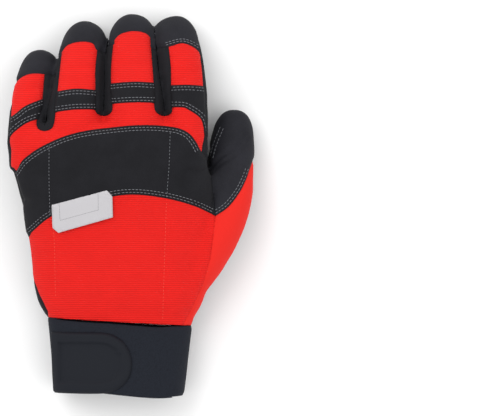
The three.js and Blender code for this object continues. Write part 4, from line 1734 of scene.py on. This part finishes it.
@dataclass
class CuffForm:
    """The cuff's filled loft, with a few soft waves.

    Attributes:
        sides: points round a section.
        rings: sections along it.
        roundness: as squared_off() takes it.
        length: from the wrist's seam to the mouth, mm.
        over: how far the loft goes past both, in lengths.
        height: its top above the floor, mm.
        taper, shift: how much narrower and how far to the left the mouth is, mm.
        wave: height of its waves, as a share of its size.
    """

    sides: int = 280
    rings: int = 90
    roundness: float = 2.5
    length: float = 41.5
    over: float = 0.25
    height: float = 34.0
    taper: float = 4.3
    shift: float = 0.9
    wave: float = 0.004

    def build(self) -> Solid:
        """Makes the loft.

        Returns:
            The surface, marked SURFACE.
        """
        wrist = PALM[1]
        under = wrist.z - wrist.deep
        bm = bmesh.new()
        loft = Loft(bm, self.sides)
        for share in np.linspace(1 + self.over, -self.over, self.rings):
            middle = at(wrist.x - share * self.shift, -share * self.length, (self.height + under) / 2)

            def place(across: float, over: float) -> Vector:
                """A point of the section, with its share of the waves.

                Args:
                    across, over: the unit circle's point.

                Returns:
                    The place in metres, not under the floor.
                """
                wide = squared_off(across, self.roundness) * (wrist.wide - share * self.taper)
                deep = squared_off(over, self.roundness) * (self.height - under) / 2
                round_waves = self.wave * math.sin(7 * math.atan2(over, across) + 3 * share)
                long_waves = self.wave * math.sin(5 * share + 3 * across)
                size = 1 + round_waves + long_waves
                spot = middle + Vector((wide * size, 0, deep * size)) * MM
                spot.z = max(spot.z, 0)
                return spot

            loft.section(place)
        loft.close()
        return Solid.of(bm, Solid.SURFACE)


@dataclass
class Cuff(Assembly):
    """The cuff and its closing strap."""

    def build(self) -> None:
        """Both pieces."""
        sleeve = Solid.plan(smooth_line(CUFF_MOUTH) + smooth_line(CUFF_TOP))
        self.piece("cuff_sleeve", sleeve, Material.CUFF, SLEEVE, "cuff_foam", "cuff")
        strap = Solid.plan(smooth_line(STRAP, 1.0)).both(self.pattern.beside("pinky", 1))
        self.piece("closing_strap", strap, Material.STRAP, CLOSING, "strap_rubber", "strap")


@dataclass
class Seams:
    """All visible stitching.

    Attributes:
        back: the back's pieces.
        palm: the palm's pieces.
        edge_rows: distances of a double row inside the pad's edge, to its left, mm.
        band_rows, cap_rows, thumb_rows, patch_rows, tip_rows: the same for the others.
    """

    back: dict[str, Piece]
    palm: dict[str, Piece]
    edge_rows: tuple[float, float] = (-1.3, -2.8)
    band_rows: tuple[float, float] = (1.2, 2.8)
    cap_rows: tuple[float, float] = (0.9, 2.1)
    thumb_rows: tuple[float, float] = (1.2, 2.7)
    patch_rows: tuple[float, float] = (-1.3, -2.9)
    tip_rows: tuple[float, float] = (1.3, 2.9)

    def build(self) -> None:
        """Lays every row."""
        self.on_back()
        self.on_thumb()
        self.on_quilt()
        self.on_label()
        self.on_palm()

    def on_back(self) -> None:
        """Rows along the pad, the index finger's cap and the knuckle bands."""
        # The points left out at an edge's ends lie past the piece and carry no stitches.
        rows = Stitches("back_stitching")
        for edge in (PAD_TOP[1:-3], PAD_UNDER[1:-1]):
            for line in beside_both(smooth_line(edge), self.edge_rows):
                rows.row(self.back["quilted_pad"].tree, line)
        for line in beside_both(smooth_line(CAP_EDGE["index"][1:-1]), self.cap_rows):
            rows.row(self.back["tip_cap_index"].tree, line)
        for name, edges in BANDS.items():
            for edge in edges:
                for line in beside_both(smooth_line(edge), self.band_rows):
                    rows.row(self.back[f"band_{name}"].tree, line)
        rows.finish()

    def on_thumb(self) -> None:
        """Rows along the leather round the thumb."""
        rows = Stitches("thumb_stitching")
        edge = smooth_line(THUMB_CAP_LINE[:-2])  # its last two points lie past the thumb
        for line in (*THUMB_ROWS, *beside_both(edge, self.thumb_rows)):
            rows.row(self.back["thumb_wrap"].tree, smooth_line(line))
        rows.finish()

    def on_quilt(self) -> None:
        """The two rows that run down the pad and on over the knit."""
        small = {"length": 1.1, "pitch": 1.9, "radius": 0.16}
        quilt = Stitches("quilt_stitching", **small)
        knit = Stitches("knit_quilt_stitching", **small, material=Material.RED_THREAD, slot="red_knit")
        for points, under in zip(QUILT, QUILT_CHANGE):
            line = smooth_line(points)
            quilt.row(self.back["quilted_pad"].tree, [p for p in line if p[1] > under])
            knit.row(self.back["back_knit_panel"].tree, [p for p in line if p[1] < under])
        quilt.finish()
        knit.finish()

    def on_label(self) -> None:
        """The thin line of the label's frame, in touching stitches."""
        frame = Stitches(
            "label_frame", length=0.7, pitch=0.7, radius=0.13, material=Material.INK, slot="label_woven"
        )
        for first, last in zip(LABEL_FRAME, LABEL_FRAME[1:] + LABEL_FRAME[:1]):
            frame.row(self.back["blank_label"].tree, [first, last], lift=-0.04)
        frame.finish()

    def on_palm(self) -> None:
        """Rows round the palm's patches and across the fingertips' patches."""
        rows = Stitches("palm_stitching")
        for name, points in PALM_PATCHES.items():
            line = smooth_line(points, 1.0, closed=True)
            line.append(line[0])
            for inner in beside_both(line, self.patch_rows):
                rows.row(self.palm[f"palm_{name}_patch"].tree, inner, upper=False)
        for name, y in TIP_PATCH.items():
            under_patch = DIGITS[name][4]
            left, right = under_patch.x - under_patch.wide, under_patch.x + under_patch.wide
            for step in self.tip_rows:
                line = [(left, y + step), (right, y + step)]
                rows.row(self.palm[f"tip_underside_{name}"].tree, line, upper=False)
        rows.finish()


@dataclass
class Studio:
    """Plain pale floor, soft light and the camera, straight above as in the photograph.

    Attributes:
        scale: mm a pixel in the photograph.
        frame: the photograph's size, pixels.
        middle: the glove's middle in the photograph, pixels.
        height: the camera above the floor, m.
        level: the height at which the scale holds, m.
        sensor: the camera's sensor width, mm.
        floor_size: half the floor's side, m.
        sky: strength of the light from all round.
    """

    scale: float = 0.553
    frame: tuple[int, int] = (487, 416)
    middle: Point = (130.72, 205.36)
    height: float = 1.9
    level: float = 0.025
    sensor: float = 36.0
    floor_size: float = 3.0
    sky: float = 0.95

    def floor(self) -> None:
        """The floor."""
        bm = bmesh.new()
        bmesh.ops.create_grid(bm, x_segments=1, y_segments=1, size=self.floor_size)
        floor = link("floor", mesh_of(bm, "floor"))
        paper = bpy.data.materials.new("pale_paper")
        paper.use_nodes = True
        shader = paper.node_tree.nodes["Principled BSDF"]
        shader.inputs["Base Color"].default_value = linear("#F7F7F7")
        shader.inputs["Roughness"].default_value = 0.9
        floor.data.materials.append(paper)

    def light(self, name: str, place: tuple[float, float, float], size: float, power: float) -> None:
        """A soft square lamp aimed at the glove.

        Args:
            name: its name.
            place: where it hangs, m.
            size: its side, m.
            power: its power, W.
        """
        lamp = bpy.data.lights.new(name, "AREA")
        lamp.shape = "SQUARE"
        lamp.size = size
        lamp.energy = power
        obj = link(name, lamp)
        obj.location = place
        obj.rotation_euler = (-Vector(place)).to_track_quat("-Z", "Y").to_euler()

    def camera(self) -> None:
        """The camera."""
        data = bpy.data.cameras.new("camera")
        width = self.frame[0] * self.scale * MM
        data.sensor_width = self.sensor
        data.lens = self.sensor * (self.height - self.level) / width
        camera = link("camera", data)
        camera.location = (
            (self.frame[0] / 2 - self.middle[0]) * self.scale * MM,
            (self.middle[1] - self.frame[1] / 2) * self.scale * MM,
            self.height,
        )
        bpy.context.scene.camera = camera

    def build(self) -> None:
        """All of it."""
        self.floor()
        self.light("key", (-0.7, 0.8, 1.5), 1.2, 12)
        self.light("fill", (0.9, -0.3, 1.4), 1.4, 5)
        world = bpy.data.worlds.new("studio")
        world.use_nodes = True
        sky = world.node_tree.nodes["Background"]
        sky.inputs["Color"].default_value = (1, 1, 1, 1)
        sky.inputs["Strength"].default_value = self.sky
        bpy.context.scene.world = world
        bpy.context.scene.view_settings.view_transform = "Standard"
        self.camera()


def main() -> None:
    """Builds the looks, class by class."""
    logging.basicConfig(level=logging.INFO, format="%(name)s %(message)s")
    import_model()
    Studio().build()
    Marks.make()
    form = HandForm().build()
    pattern = Pattern()
    back = Back(form, pattern)
    back.build()
    palm = Palm(form, pattern)
    palm.build()
    Cuff(CuffForm().build(), pattern).build()
    Seams(back.pieces, palm.pieces).build()
    Solid.drop_all()
    Marks.drop()


if __name__ == "__main__":
    main()
